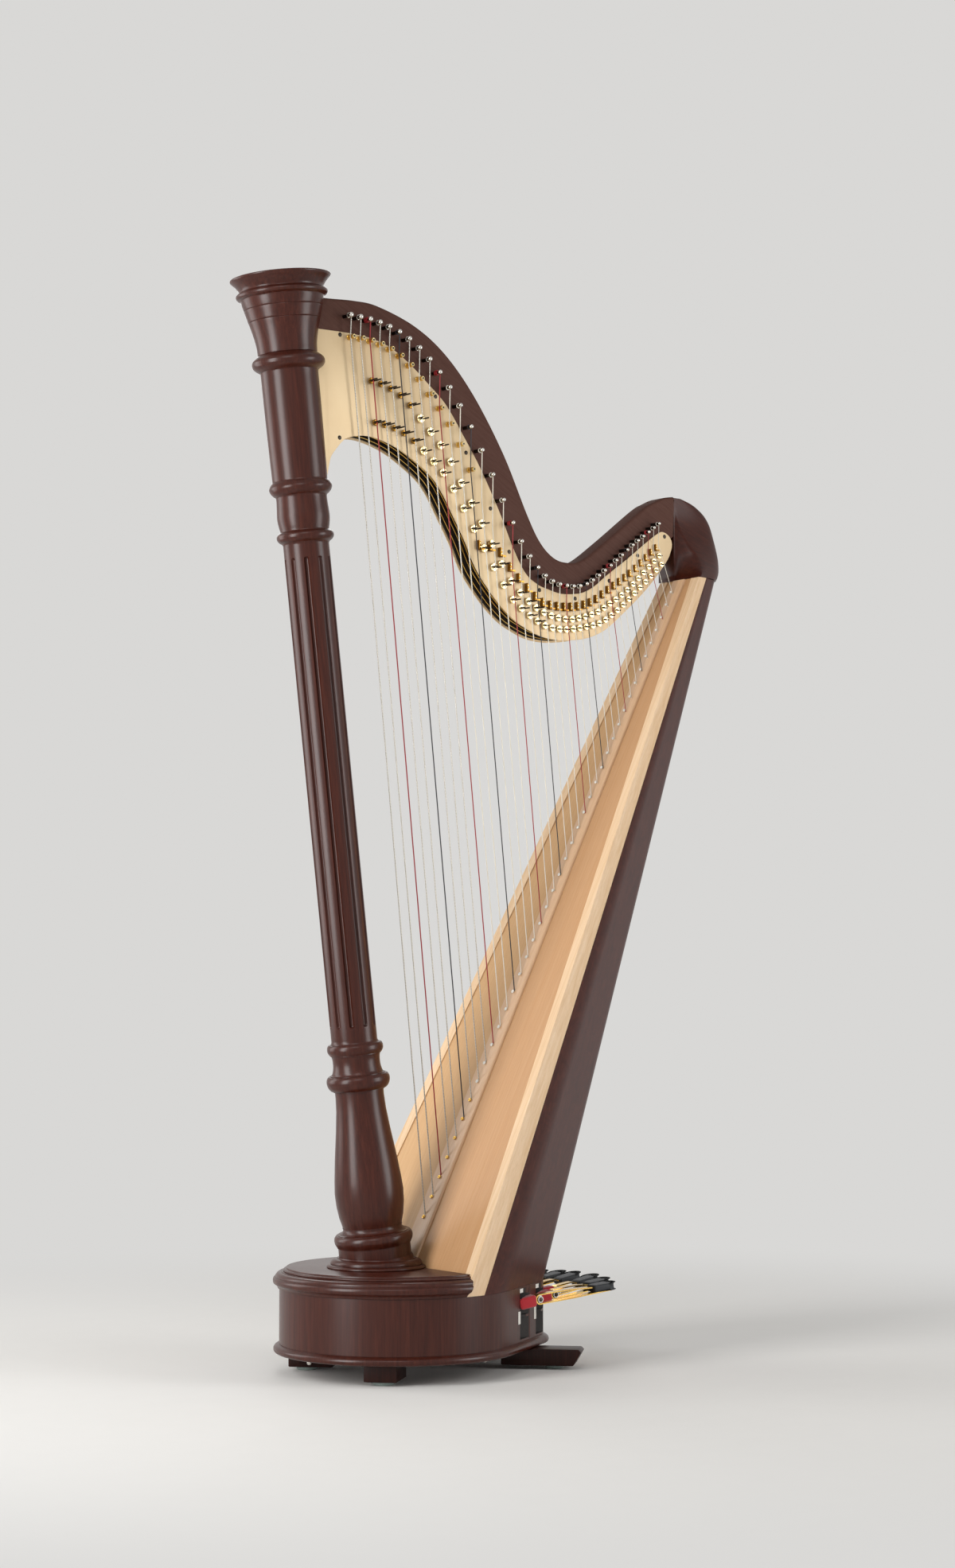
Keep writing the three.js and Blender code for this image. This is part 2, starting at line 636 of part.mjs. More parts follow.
function capitalProfile(grow) {
  return turned(capitalProfileShares, capitalLow + seam, capitalHeight - seam)
    .map(([height, radius]) => [height, radius + grow]);
}

// Moves something drawn along the column axis to where it stands on the base.
function leanToColumn(object) {
  object.position.set(columnFootX, 0, deckZ);
  object.rotation.y = -columnLean;
  return object;
}

function leanGeometry(geometry) {
  const frame = leanToColumn(new THREE.Object3D());
  frame.updateMatrix();
  return geometry.applyMatrix4(frame.matrix);
}

function buildColumn() {
  const column = leanToColumn(new THREE.Group());
  harp.add(column);
  const outline = columnProfile(0);
  const low = outline[0][0];
  const boreTop = capitalLow - boreStop;
  const body = lathe([
    [boreTop, 0], [boreTop, boreRadius], [low, boreRadius], ...outline, [capitalLow, 0],
  ]);
  const flutes = Array.from({ length: fluteCount }, (_, i) => {
    const length = shaftLength - 2 * fluteMargin - 2 * fluteRadius;
    const flute = new THREE.CapsuleGeometry(fluteRadius, length, 2, 8).rotateX(Math.PI / 2);
    const angle = 2 * Math.PI * (i + 0.5) / fluteCount;
    const out = shaftRadius + fluteRadius - fluteDepth;
    return flute.translate(out * Math.cos(angle), out * Math.sin(angle), shaftLow + shaftLength / 2);
  });
  const reach = footProfileShares[0][1] * shaftRadius * 2;
  const frame = leanToColumn(new THREE.Object3D());
  frame.updateMatrix();
  const toColumn = frame.matrix.clone().invert();
  const underDeck = slab(reach, reach, reach).translate(columnFootX, 0, deckZ + seam - reach / 2)
    .applyMatrix4(toColumn);
  const behindBoard = loft([deckZ - reach, deckZ + reach].map((z) => {
    const face = boardX(z) - seam;
    return [[face, -reach, z], [face + reach, -reach, z], [face + reach, reach, z], [face, reach, z]];
  })).applyMatrix4(toColumn);
  place(column, 'column', cut(body, underDeck, behindBoard, ...flutes), mahogany);

  const capital = capitalProfile(0);
  const closed = [[capital[0][0], 0], ...capital, [capital[capital.length - 1][0], 0]];
  place(column, 'capital', lathe(closed), mahogany);

  pedalNames.forEach((name, i) => {
    const rise = pedalReach(i).rise;
    const rodX = columnFootX + (deckZ - axleZ) * Math.tan(columnLean) - axleX;
    const leverTop = axleZ + rodX * Math.tan(rise) + leverHeight / 2 / Math.cos(rise);
    const low = (leverTop - deckZ) / Math.cos(columnLean) + rodRadius * Math.tan(rise) + seam;
    const rod = new THREE.CylinderGeometry(rodRadius, rodRadius, rodTop - low, trimSides + 1);
    rod.rotateX(Math.PI / 2).translate(0, 0, (rodTop + low) / 2);
    place(column, `pedal_rod_${name}`, rod, steel).position.set(0, rodY(i), 0);
  });
}

function rodY(i) {
  return (i - (pedalNames.length - 1) / 2) * leverPitch;
}

// Neck, plates and shoulder, drawn in the neck's own frame: x along it, y through it

// The neck spans from the column's head to the top of the sound box, so its size follows from both.
const neckLowZ = bodyTopZ - neckDrop;
const neckRise = deckZ + columnTop * Math.cos(columnLean) - rimAboveNeck - neckLowZ;
const neckPivotX = columnFootX - (neckLowZ + neckPivotShare * neckRise - deckZ) * Math.tan(columnLean);
const neckLength = (boardX(bodyTopZ) - neckSetback - neckPivotX) / neckWoodEndShare;

const neck = new THREE.Group();
neck.position.set(neckPivotX, 0, 0);
neck.rotation.z = radians(neckAngle);
neck.updateMatrix();
harp.add(neck);

function neckPoints(shares) {
  return shares.map(([x, z]) => new THREE.Vector2(x * neckLength, neckLowZ + z * neckRise));
}

function neckCurve(shares, steps) {
  return new THREE.SplineCurve(neckPoints(shares)).getPoints(steps).map((point) => [point.x, point.y]);
}

// Height of a line of shares above the base at a distance along the neck.
function heightAt(line, x) {
  for (let i = 0; i + 1 < line.length; i += 1) {
    const [x0, z0] = line[i];
    const [x1, z1] = line[i + 1];
    if (x <= x1 || i + 2 === line.length) {
      return z0 + (z1 - z0) * (x - x0) / (x1 - x0);
    }
  }
  return line[0][1];
}

const bridgeLine = neckCurve(bridgeLineShares, 90);
const pinLine = neckCurve(pinLineShares, 90);
const discLines = { natural: neckCurve(naturalLineShares, 90), sharp: neckCurve(sharpLineShares, 90) };

// Works out one string: its eyelet, where it leaves the bridge, and its tuning pin.
function stringAt(number) {
  const share = (number - 1) / (stringCount - 1);
  const along = share + spacingBiasShare * share * (1 - share);
  const eyelet = new THREE.Vector3(
    firstEyelet.x + (lastEyelet.x - firstEyelet.x) * along, 0,
    firstEyelet.z + (lastEyelet.z - firstEyelet.z) * along,
  );
  const fan = trebleFan * Math.max(0, (share - fanStartShare) / (1 - fanStartShare));
  const local = eyelet.clone().applyMatrix4(neck.matrix.clone().invert());
  let x = local.x;
  for (let pass = 0; pass < 40; pass += 1) {
    const rise = heightAt(bridgeLine, x) - eyelet.z;
    x = (x + local.x - rise * Math.tan(columnLean) - fan) / 2;
  }
  const bridge = new THREE.Vector3(x, -stringStandoff, heightAt(bridgeLine, x));
  const pinX = x - pinSide;
  const radius = bassStringRadius + (trebleStringRadius - bassStringRadius) * share;
  return { number, share, eyelet, local, bridge, radius, pinX, pinZ: heightAt(pinLine, pinX) };
}

const strings = Array.from({ length: stringCount }, (_, i) => stringAt(i + 1));

// Point on a string, in the neck's frame, at a share of its length below the bridge.
// Where a string crosses one of the two lines on which the discs stand.
function discSpot(string, line) {
  const { bridge, local } = string;
  const spot = bridge.clone();
  for (let pass = 0; pass < 20; pass += 1) {
    spot.lerpVectors(bridge, local, (bridge.z - heightAt(line, spot.x)) / (bridge.z - local.z));
  }
  return spot;
}

function discRadius(string) {
  const wide = wideDiscRadius + (trebleDiscRadius - wideDiscRadius) * string.share;
  return string.number < firstWideDisc ? narrowDiscRadius : wide;
}

const plateInner = neckThickness / 2 + seam;
const plateOuter = plateInner + plateThickness;

function isLinked(string) {
  const place = string.number - firstLinkedString;
  return place >= 0 && place < linkedStrings;
}

function plateOutline() {
  return plateShape([
    ...neckCurve(plateTopShares, 34), ...neckPoints(plateEndShares).map((p) => [p.x, p.y]),
    ...neckCurve(plateFootShares, 40),
  ]);
}

// The column and capital, grown by the seam, seen from the neck's frame.
function columnInNeckFrame() {
  const grown = columnProfile(seam);
  const head = [[grown[0][0], 0], ...grown, [grown[grown.length - 1][0] + seam, 0]];
  const cap = capitalProfile(seam);
  const capClosed = [[cap[0][0] - 2 * seam, 0], [cap[0][0] - 2 * seam, cap[0][1]], ...cap.slice(1),
    [cap[cap.length - 1][0] + seam, cap[cap.length - 1][1]], [cap[cap.length - 1][0] + seam, 0]];
  const toNeck = neck.matrix.clone().invert();
  const both = join(lathe(head), lathe(capClosed));
  return leanGeometry(both).applyMatrix4(toNeck);
}

function buildNeck() {
  const stop = columnInNeckFrame();
  const wood = neckWood();
  const pins = strings.map((string) => pinAlongY(string.pinX, string.pinZ, pinRadius, -pinNearReach,
    pinFarReach, trimSides));
  const trimmed = cut(wood, stop);
  place(neck, 'neck', join(trimmed, mergePins(pins)), mahogany);

  const shape = plateOutline();
  const nearPlate = extrudeAlongY(shape, -plateOuter, -plateInner);
  const farPlate = extrudeAlongY(shape, plateInner, plateOuter);
  const spindleHoles = [];
  const fittings = [];
  for (const string of strings) {
    fittings.push(bridgeFitting(string));
    for (const line of Object.values(discLines)) {
      const spot = discSpot(string, line);
      if (isLinked(string)) {
        spindleHoles.push(pinAlongY(spot.x, spot.z, spindleRadius + runningGap, -plateOuter - overrun,
          -plateInner + overrun));
      } else if (string.number >= firstFrettedString) {
        fittings.push(fixedDisc(string, spot));
      }
    }
  }
  const drilled = cut(nearPlate, stop, ...spindleHoles);
  place(neck, 'action_plate_near', join(drilled, ...fittings), satinBrass);
  place(neck, 'action_plate_far', cut(farPlate, stop, ...pinHoles()), satinBrass);
  buildLinkedDiscs();
  buildShoulder();
}

// Sections with chamfered edges, carried from the column's end to the shoulder.
function neckWood() {
  const top = insetLines(neckCurve(neckTopShares, neckStations), 1);
  const foot = insetLines(neckCurve(neckFootShares, neckStations), -1);
  const face = neckThickness / 2;
  const flat = face - neckEdge;
  const rings = top.map((topPair, i) => {
    const section = [
      [foot[i].inside, -face], [foot[i].edge, -flat], [foot[i].edge, flat], [foot[i].inside, face],
      [topPair.inside, face], [topPair.edge, flat], [topPair.edge, -flat], [topPair.inside, -face],
    ];
    return section.map(([[x, z], y]) => [-z, y, x]);
  });
  return loft(rings).rotateY(Math.PI / 2);
}

// Each point of an edge line with its partner that lies a chamfer's width inside the wood.
function insetLines(line, side) {
  return line.map((point, i) => {
    const before = line[Math.max(i - 1, 0)];
    const after = line[Math.min(i + 1, line.length - 1)];
    const atEnd = before === point || after === point;
    const run = after[0] - before[0];
    const rise = atEnd ? 0 : after[1] - before[1];
    const scale = side * neckEdge / Math.hypot(run, rise);
    return { edge: point, inside: [point[0] + rise * scale, point[1] - run * scale] };
  });
}

// Clear holes where a tuning pin would meet the far plate.
function pinHoles() {
  return strings.map((string) => pinAlongY(string.pinX, string.pinZ, pinRadius + runningGap,
    plateInner - overrun, plateOuter + overrun, trimSides));
}

function mergePins(pins) {
  return mergeGeometries(pins.map((pin) => pin.toNonIndexed()));
}

function bridgeFitting(string) {
  const { x, z } = string.bridge;
  if (string.number <= lastBridgePin) {
    const centre = x + bridgePinRadius + string.radius + seam;
    return pinAlongY(centre, z, bridgePinRadius, -bridgePinReach, -plateOuter + sink, trimSides + 1);
  }
  const reach = bridgePinReach - plateOuter + sink;
  return slab(bracketWidth, reach, bracketHeight)
    .translate(x + bracketWidth / 2 + string.radius + seam, -plateOuter + sink - reach / 2,
      z + bracketHeight / 2 - string.radius);
}

// Two fork pins that stand either side of the string.
function forkPins(radius, centreX, centreZ, fromY) {
  const spread = radius * forkSpreadShare;
  return [-1, 1].map((side) => pinAlongY(centreX + side * spread, centreZ, forkPinRadius, -forkReach,
    fromY, 3));
}

function fixedDisc(string, spot) {
  const radius = discRadius(string);
  const face = -plateOuter - discGap;
  const disc = pinAlongY(spot.x, spot.z, radius, face - discThickness, -plateOuter + sink, trimSides);
  if (string.number > lastForkedString) {
    return disc;
  }
  return join(disc, ...forkPins(radius, spot.x, spot.z, face - sink));
}

// Discs that turn with their pedal, one octave of them, on spindles through the near plate.
function buildLinkedDiscs() {
  for (const string of strings.filter(isLinked)) {
    const note = ['c', 'd', 'e', 'f', 'g', 'a', 'b'][string.number - firstLinkedString];
    for (const [row, line] of Object.entries(discLines)) {
      const spot = discSpot(string, line);
      const radius = discRadius(string);
      const face = -plateOuter - discGap;
      const disc = join(
        pinAlongY(0, 0, radius, face - discThickness, face, 10),
        pinAlongY(0, 0, spindleRadius, face - sink, -plateInner + spindleTail, 6),
        ...forkPins(radius, 0, 0, face - sink),
      );
      const mesh = place(neck, `${row}_disc_${note}`, disc, polishedBrass);
      mesh.position.set(spot.x, 0, spot.z);
    }
  }
}

// Solid block that flares from the neck's thickness down to the top of the sound box.
function buildShoulder() {
  const toNeck = neck.matrix.clone().invert();
  const front = neckLength * neckWoodEndShare + seam;
  const low = bodyTopZ + seam;
  const halfNeck = neckThickness / 2;
  const rings = shoulderBackShares.map(([heightShare, reachShare]) => {
    const z = low + shoulderHeight * heightShare;
    const flare = (1 - heightShare / 0.94) ** shoulderFlareShare;
    const middle = new THREE.Vector3(boardX(bodyTopZ), 0, z).applyMatrix4(toNeck).y;
    const nearY = -halfNeck + (middle - bodyTopHalfWidth + halfNeck) * flare;
    const farY = halfNeck + (middle + bodyTopHalfWidth - halfNeck) * flare;
    const back = reachShare * neckLength;
    const squareness = 2 + 3 * (1 - flare);
    return shoulderRing(front, back, nearY, farY, z, squareness);
  });
  place(neck, 'shoulder', loft(rings), mahogany);
}

function shoulderRing(front, back, nearY, farY, z, squareness) {
  const points = [];
  const steps = 16;
  const middle = (nearY + farY) / 2;
  const half = (farY - nearY) / 2;
  const power = 2 / squareness;
  for (let i = 0; i <= steps; i += 1) {
    const angle = -Math.PI / 2 + Math.PI * i / steps;
    const across = Math.sign(Math.sin(angle)) * Math.abs(Math.sin(angle)) ** power;
    const out = Math.abs(Math.cos(angle)) ** power;
    points.push([front + (back - front) * out, middle + half * across, z]);
  }
  return points;
}

// Strings, knotted through the rib down the middle of the soundboard

function buildStrings() {
  const rings = [deckZ + ribStart, bodyTopZ].map((z, i) => {
    const half = i === 0 ? ribFootHalfWidth : ribTopHalfWidth;
    const front = boardX(z) - seam;
    return [[front - ribThickness, -half, z], [front, -half, z], [front, half, z],
      [front - ribThickness, half, z]];
  });
  const lines = strings.map((string) => {
    const bridge = string.bridge.clone().applyMatrix4(neck.matrix);
    const wrap = pinRadius + string.radius + seam;
    const atPin = new THREE.Vector3(string.pinX + wrap, -pinNearReach + bridgePinRadius, string.pinZ)
      .applyMatrix4(neck.matrix);
    const knot = string.eyelet.clone();
    knot.x = boardX(knot.z) - seam - ribThickness / 2;
    return bar([knot, bridge, atPin], string.radius);
  });
  place(harp, 'strings_and_rib', join(loft(rings), ...lines), gut);
}

// Pedals

// Where the side of the base stands at a distance from the middle.
function boxFaceX(y) {
  const taper = Math.asin((baseFrontRadius - baseRearRadius) / (baseRearX - baseFrontX));
  const rearEdgeY = baseRearRadius * Math.cos(taper);
  if (Math.abs(y) <= rearEdgeY) {
    return baseRearX + Math.sqrt(baseRearRadius ** 2 - y ** 2);
  }
  return baseRearX + baseRearRadius * Math.sin(taper) - (Math.abs(y) - rearEdgeY) / Math.tan(taper);
}

// How far the hinge of a pedal's arm is from the axle, and the angle of the lever at rest.
function pedalReach(i) {
  const faceX = boxFaceX(pedalSlotY[i]);
  const run = faceX + hingeOutset - axleX;
  const climb = pedalRestZ - axleZ;
  return { faceX, length: Math.hypot(run, climb), rise: Math.atan2(climb, run) };
}

function buildPedal(name, i) {
  const frontY = rodY(i);
  const slotY = pedalSlotY[i];
  const { faceX, length: hingeX, rise } = pedalReach(i);
  const insideX = faceX - axleX - boxWall * 3;
  const straightX = leverStraightX - axleX;
  const bendX = straightX + (insideX - straightX) * leverBendShares[i];

  const lever = new THREE.Group();
  lever.position.set(axleX, 0, axleZ);
  lever.rotation.y = -rise;
  harp.add(lever);
  const thin = leverThickness / 2;
  const thick = leverTailThickness / 2;
  const plan = plateShape([
    [-leverEnd, frontY - thin], [bendX, frontY - thin], [insideX, slotY - thick],
    [hingeX + leverEnd / 2, slotY - thick], [hingeX + leverEnd / 2, slotY + thick],
    [insideX, slotY + thick], [bendX, frontY + thin], [-leverEnd, frontY + thin],
  ]);
  const blank = new THREE.ExtrudeGeometry(plan, { depth: leverHeight, bevelEnabled: false })
    .translate(0, 0, -leverHeight / 2);
  const eye = pinAlongY(0, 0, axleRadius + seam, frontY - leverThickness, frontY + leverThickness);
  const hingeEye = pinAlongY(hingeX, 0, hingePinRadius + seam, slotY - leverTailThickness,
    slotY + leverTailThickness);
  place(lever, `pedal_lever_${name}`, cut(blank, eye, hingeEye), steel);

  const capX = capArcX + Math.sqrt(capArcRadius ** 2 - slotY ** 2);
  const armLength = capX - (faceX + hingeOutset);
  const arm = place(lever, `pedal_arm_${name}`, footArm(armLength), polishedBrass);
  arm.position.set(hingeX, slotY, 0);
  arm.rotation.y = rise - Math.atan(capClimb / armLength);
}

// Two straps either side of the lever's end, a hinge pin between them and a rubber cap at the end.
function footArm(length) {
  const inside = leverTailThickness / 2 + seam;
  const outside = inside + strapThickness;
  const capStart = length - capLength / 2;
  const strapShape = new THREE.Shape();
  strapShape.absarc(0, 0, strapNoseRadius, Math.PI / 2, Math.PI * 1.5, false);
  strapShape.lineTo(capStart + capLength / 3, -strapHeight / 3);
  strapShape.lineTo(capStart + capLength / 3, strapHeight / 3);
  const straps = [-1, 1].map((side) => {
    const strap = new THREE.ExtrudeGeometry(strapShape, {
      depth: strapThickness, bevelEnabled: false, curveSegments: 4,
    });
    return strap.rotateX(Math.PI / 2).translate(0, side < 0 ? -inside : outside, 0);
  });
  const pin = pinAlongY(0, 0, hingePinRadius, -outside + sink, outside - sink);
  const half = capWidth / 2;
  const corner = capThickness / 3;
  const capShape = new THREE.Shape();
  capShape.absarc(capLength - half, 0, half, -Math.PI / 2, Math.PI / 2, false);
  capShape.lineTo(0, half - corner);
  capShape.lineTo(0, corner - half);
  const cap = new THREE.ExtrudeGeometry(capShape, {
    depth: capThickness - 2 * corner, bevelEnabled: true, bevelThickness: corner, bevelSize: corner,
    bevelOffset: -corner, bevelSegments: 1, curveSegments: 4,
  }).translate(capStart, 0, corner - capThickness / 2);
  return join(...straps, pin, cap);
}

buildBase();
buildBody();
buildColumn();
buildNeck();
buildStrings();
pedalNames.forEach(buildPedal);

// The origin is at the middle of the footprint, on the floor.
const bounds = new THREE.Box3().setFromObject(harp);
const footprint = bounds.getCenter(new THREE.Vector3());
harp.position.set(-footprint.x, -footprint.y, -bounds.min.z);

const group = new THREE.Group();
group.add(harp);

export default group;
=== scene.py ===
"""Looks of a pedal harp: turned mahogany, brass plates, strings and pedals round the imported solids."""
from __future__ import annotations

import json
import logging
import math
from dataclasses import dataclass, field
from enum import Enum
from typing import Optional, Sequence

import bmesh
import bpy
import numpy as np
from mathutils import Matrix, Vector

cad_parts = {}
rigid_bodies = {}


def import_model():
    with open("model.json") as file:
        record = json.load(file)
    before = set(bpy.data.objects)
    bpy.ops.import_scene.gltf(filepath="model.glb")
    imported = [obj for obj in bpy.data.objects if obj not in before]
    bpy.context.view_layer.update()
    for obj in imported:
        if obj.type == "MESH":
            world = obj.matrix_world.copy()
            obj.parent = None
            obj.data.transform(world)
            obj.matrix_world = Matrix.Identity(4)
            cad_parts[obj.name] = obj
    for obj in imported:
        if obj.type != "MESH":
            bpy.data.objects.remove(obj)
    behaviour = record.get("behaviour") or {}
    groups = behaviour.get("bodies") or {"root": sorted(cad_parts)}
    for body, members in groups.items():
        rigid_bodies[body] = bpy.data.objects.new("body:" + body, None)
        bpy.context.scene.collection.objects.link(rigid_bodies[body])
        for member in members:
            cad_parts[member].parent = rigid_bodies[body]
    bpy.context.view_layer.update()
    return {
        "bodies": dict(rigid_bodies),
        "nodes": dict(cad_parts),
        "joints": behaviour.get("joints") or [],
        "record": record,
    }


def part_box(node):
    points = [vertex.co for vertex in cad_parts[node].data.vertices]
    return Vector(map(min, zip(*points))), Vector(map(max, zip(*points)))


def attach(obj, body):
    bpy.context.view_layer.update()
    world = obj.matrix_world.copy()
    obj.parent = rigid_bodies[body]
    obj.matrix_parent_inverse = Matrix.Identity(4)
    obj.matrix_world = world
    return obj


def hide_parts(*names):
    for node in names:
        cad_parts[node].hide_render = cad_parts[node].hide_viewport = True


LOG = logging.getLogger("harp")
MM = 0.001
Tree, Node, Socket = bpy.types.NodeTree, bpy.types.Node, bpy.types.NodeSocket
Line = tuple[tuple[float, float], ...]
Corner = tuple[float, float, float]


# Numbers and curves


def linear(hex_colour: str) -> tuple[float, float, float, float]:
    """Turns an sRGB hex colour into linear light.

    Args:
        hex_colour: colour such as "#aabbcc".

    Returns:
        Linear red, green, blue and an alpha of one.
    """
    channels = [int(hex_colour[i : i + 2], 16) / 255 for i in (1, 3, 5)]
    bright = [c / 12.92 if c <= 0.04045 else ((c + 0.055) / 1.055) ** 2.4 for c in channels]
    return bright[0], bright[1], bright[2], 1.0


def spline(points: Sequence[Sequence[float]], count: int) -> np.ndarray:
    """Smooth line through points: each stretch is a cubic whose end slopes are half the span of its neighbours.

    Args:
        points: the points that the line passes through.
        count: number of steps along the whole line.

    Returns:
        Array of count + 1 points.
    """
    given = np.asarray(points, float)
    place = np.linspace(0, len(given) - 1, count + 1)
    cell = np.minimum(place.astype(int), len(given) - 2)
    share = (place - cell)[:, None]
    padded = np.vstack([given[0], given, given[-1]])
    a, b, c, d = (padded[cell + k] for k in range(4))
    slope_b, slope_c = (c - a) / 2, (d - b) / 2
    return (
        (2 * b - 2 * c + slope_b + slope_c) * share**3
        + (-3 * b + 3 * c - 2 * slope_b - slope_c) * share**2
        + slope_b * share
        + b
    )


def profile_of(runs: Sequence[Sequence[Sequence[float]]], count: int = 10) -> np.ndarray:
    """Profile made of several smooth curves that meet in sharp steps.

    Args:
        runs: points of each curve; a run of two points is a straight line.
        count: steps along each curve.

    Returns:
        All points in order.
    """
    return np.vstack([spline(run, count) if len(run) > 2 else np.asarray(run, float) for run in runs])


def turn_about(axis: str, angle: float) -> np.ndarray:
    """Rotation matrix about a main axis, by the right-hand rule.

    Args:
        axis: "x", "y" or "z".
        angle: radians.

    Returns:
        A 3 by 3 matrix.
    """
    c, s = math.cos(angle), math.sin(angle)
    rows = {
        "x": [[1, 0, 0], [0, c, -s], [0, s, c]],
        "y": [[c, 0, s], [0, 1, 0], [-s, 0, c]],
        "z": [[c, -s, 0], [s, c, 0], [0, 0, 1]],
    }
    return np.array(rows[axis], float)


def circle(count: int) -> np.ndarray:
    """Angles in radians of points spread evenly round a circle."""
    return np.linspace(0, 2 * math.pi, count, endpoint=False)


def heading(path: np.ndarray) -> np.ndarray:
    """Direction of a line at each of its points, as vectors of length one."""
    along = np.gradient(path, axis=0)
    return along / np.linalg.norm(along, axis=1, keepdims=True)


def left_of(direction: np.ndarray) -> np.ndarray:
    """Directions in a plane, each turned a quarter turn to the left."""
    return np.column_stack([-direction[:, 1], direction[:, 0]])


def squared_off(wave: np.ndarray, power: float) -> np.ndarray:
    """Sine or cosine raised to a power with its sign kept, as a superellipse needs."""
    return np.sign(wave) * np.abs(wave) ** power


def at_height(ring: np.ndarray, z: float) -> np.ndarray:
    """Points given in x and y, all at one height."""
    return np.column_stack([ring, np.full(len(ring), z)])


def at_depth(line: np.ndarray, y: float | np.ndarray) -> np.ndarray:
    """Points given in x and z, at one depth or each at its own."""
    return np.column_stack([line[:, 0], np.broadcast_to(y, len(line)), line[:, 1]])


def at_reach(across: np.ndarray, up: np.ndarray, x: float) -> np.ndarray:
    """Points given in y and z, all at one place along X."""
    return np.column_stack([np.full(len(across), x), across, up])


@dataclass(frozen=True)
class Placement:
    """Where a sub-assembly's own millimetres lie in the part's frame."""

    turn: np.ndarray
    origin: np.ndarray

    def to_frame(self, points: np.ndarray) -> np.ndarray:
        """Points in metres in the part's frame: turned, moved to the origin and scaled."""
        return (np.asarray(points, float) @ self.turn.T + self.origin) * MM

    def to_local(self, points: np.ndarray) -> np.ndarray:
        """Points given in the harp's millimetres, in this sub-assembly's own."""
        return (np.asarray(points, float) - self.origin) @ self.turn


# Meshes


@dataclass
class Shape:
    """Vertices and faces of one or more closed bodies, in a sub-assembly's millimetres."""

    points: np.ndarray
    faces: list[tuple[int, ...]]

    def moved(self, by: Sequence[float], turn: Optional[np.ndarray] = None) -> "Shape":
        """The same shape, turned and then moved."""
        points = self.points if turn is None else self.points @ turn.T
        return Shape(points + np.asarray(by, float), self.faces)


def grid_faces(rows: int, columns: int, wrap_rows: bool, wrap_columns: bool) -> list[tuple[int, ...]]:
    """Quads between neighbouring points of a grid that is stored row by row.

    Args:
        rows: number of rows.
        columns: number of points in each row.
        wrap_rows: joins the last row to the first.
        wrap_columns: joins the last column to the first.

    Returns:
        Faces as tuples of indices.
    """
    i, j = np.meshgrid(
        np.arange(rows if wrap_rows else rows - 1),
        np.arange(columns if wrap_columns else columns - 1),
        indexing="ij",
    )
    up, right = (i + 1) % rows, (j + 1) % columns
    quads = np.stack([i * columns + j, i * columns + right, up * columns + right, up * columns + j], -1)
    return [tuple(q) for q in quads.reshape(-1, 4).tolist()]


def loft(grid: np.ndarray, closed_rows: bool = False) -> Shape:
    """Closed body from a grid of rings: each row is a closed ring, with a flat face on the first and last.

    Args:
        grid: rows by columns by 3.
        closed_rows: joins the last ring to the first, as in a hollow ring, and leaves the flat faces out.

    Returns:
        The body.
    """
    rows, columns = grid.shape[:2]
    faces = grid_faces(rows, columns, closed_rows, True)
    if not closed_rows:
        faces.append(tuple(range(columns))[::-1])
        faces.append(tuple(range((rows - 1) * columns, rows * columns)))
    return Shape(grid.reshape(-1, 3), faces)


def revolve(profile: np.ndarray, sides: int) -> Shape:
    """Turned body: each profile point (height, radius) sweeps a circle about Z; ends close flat.

    Args:
        profile: heights and radii, from the bottom up.
        sides: points round each circle.

    Returns:
        The body.
    """
    angle = circle(sides)
    height, radius = profile[:, 0:1], profile[:, 1:2]
    around = np.broadcast_to(height, (len(profile), sides))
    grid = np.stack([radius * np.cos(angle), radius * np.sin(angle), around], -1)
    return loft(grid)


def tube(path: np.ndarray, radius: float, sides: int) -> Shape:
    """Round bar along a path: at each point a circle square to the mean of the two stretches beside it.

    Args:
        path: points along the middle.
        radius: radius of the bar.
        sides: points round it.

    Returns:
        The body.
    """
    along = heading(path)
    guide = np.where(np.abs(along[:, 1:2]) < 0.9, [[0.0, 1.0, 0.0]], [[1.0, 0.0, 0.0]])
    side = np.cross(guide, along)
    side /= np.linalg.norm(side, axis=1, keepdims=True)
    out = np.cross(along, side)
    angle = circle(sides)
    across = np.cos(angle)[None, :, None] * side[:, None] + np.sin(angle)[None, :, None] * out[:, None]
    grid = path[:, None] + radius * across
    return loft(grid)


def slab(low: Sequence[float], high: Sequence[float]) -> Shape:
    """Box between two corners."""
    (x0, y0, z0), (x1, y1, z1) = low, high
    ring = np.array([[x0, y0], [x1, y0], [x1, y1], [x0, y1]], float)
    return loft(np.stack([at_height(ring, z) for z in (z0, z1)]))


def board(outline: np.ndarray, low: float, high: float, edge: float, steps: int = 4) -> Shape:
    """Flat board from an outline in X and Z that spans Y, with quarter-round edges.

    The ring at depth y is the outline drawn in by edge times one minus the cosine of a quarter turn.

    Args:
        outline: closed outline, counter-clockwise seen from -Y, in x and z.
        low: lowest y.
        high: highest y.
        edge: radius of the rounded edge.
        steps: rings in each rounded edge.

    Returns:
        The body.
    """
    before, after = np.roll(outline, 1, 0), np.roll(outline, -1, 0)
    tangent = after - before
    tangent /= np.linalg.norm(tangent, axis=1, keepdims=True) + 1e-12
    inward = left_of(tangent)
    turn = np.linspace(0, math.pi / 2, steps + 1)
    draw = edge * (1 - np.sin(turn))
    depth = edge * (1 - np.cos(turn))
    levels = [*zip(low + depth, draw), *zip(high - depth[::-1], draw[::-1])]
    return loft(np.stack([at_depth(outline + inward * inset, y) for y, inset in levels]))


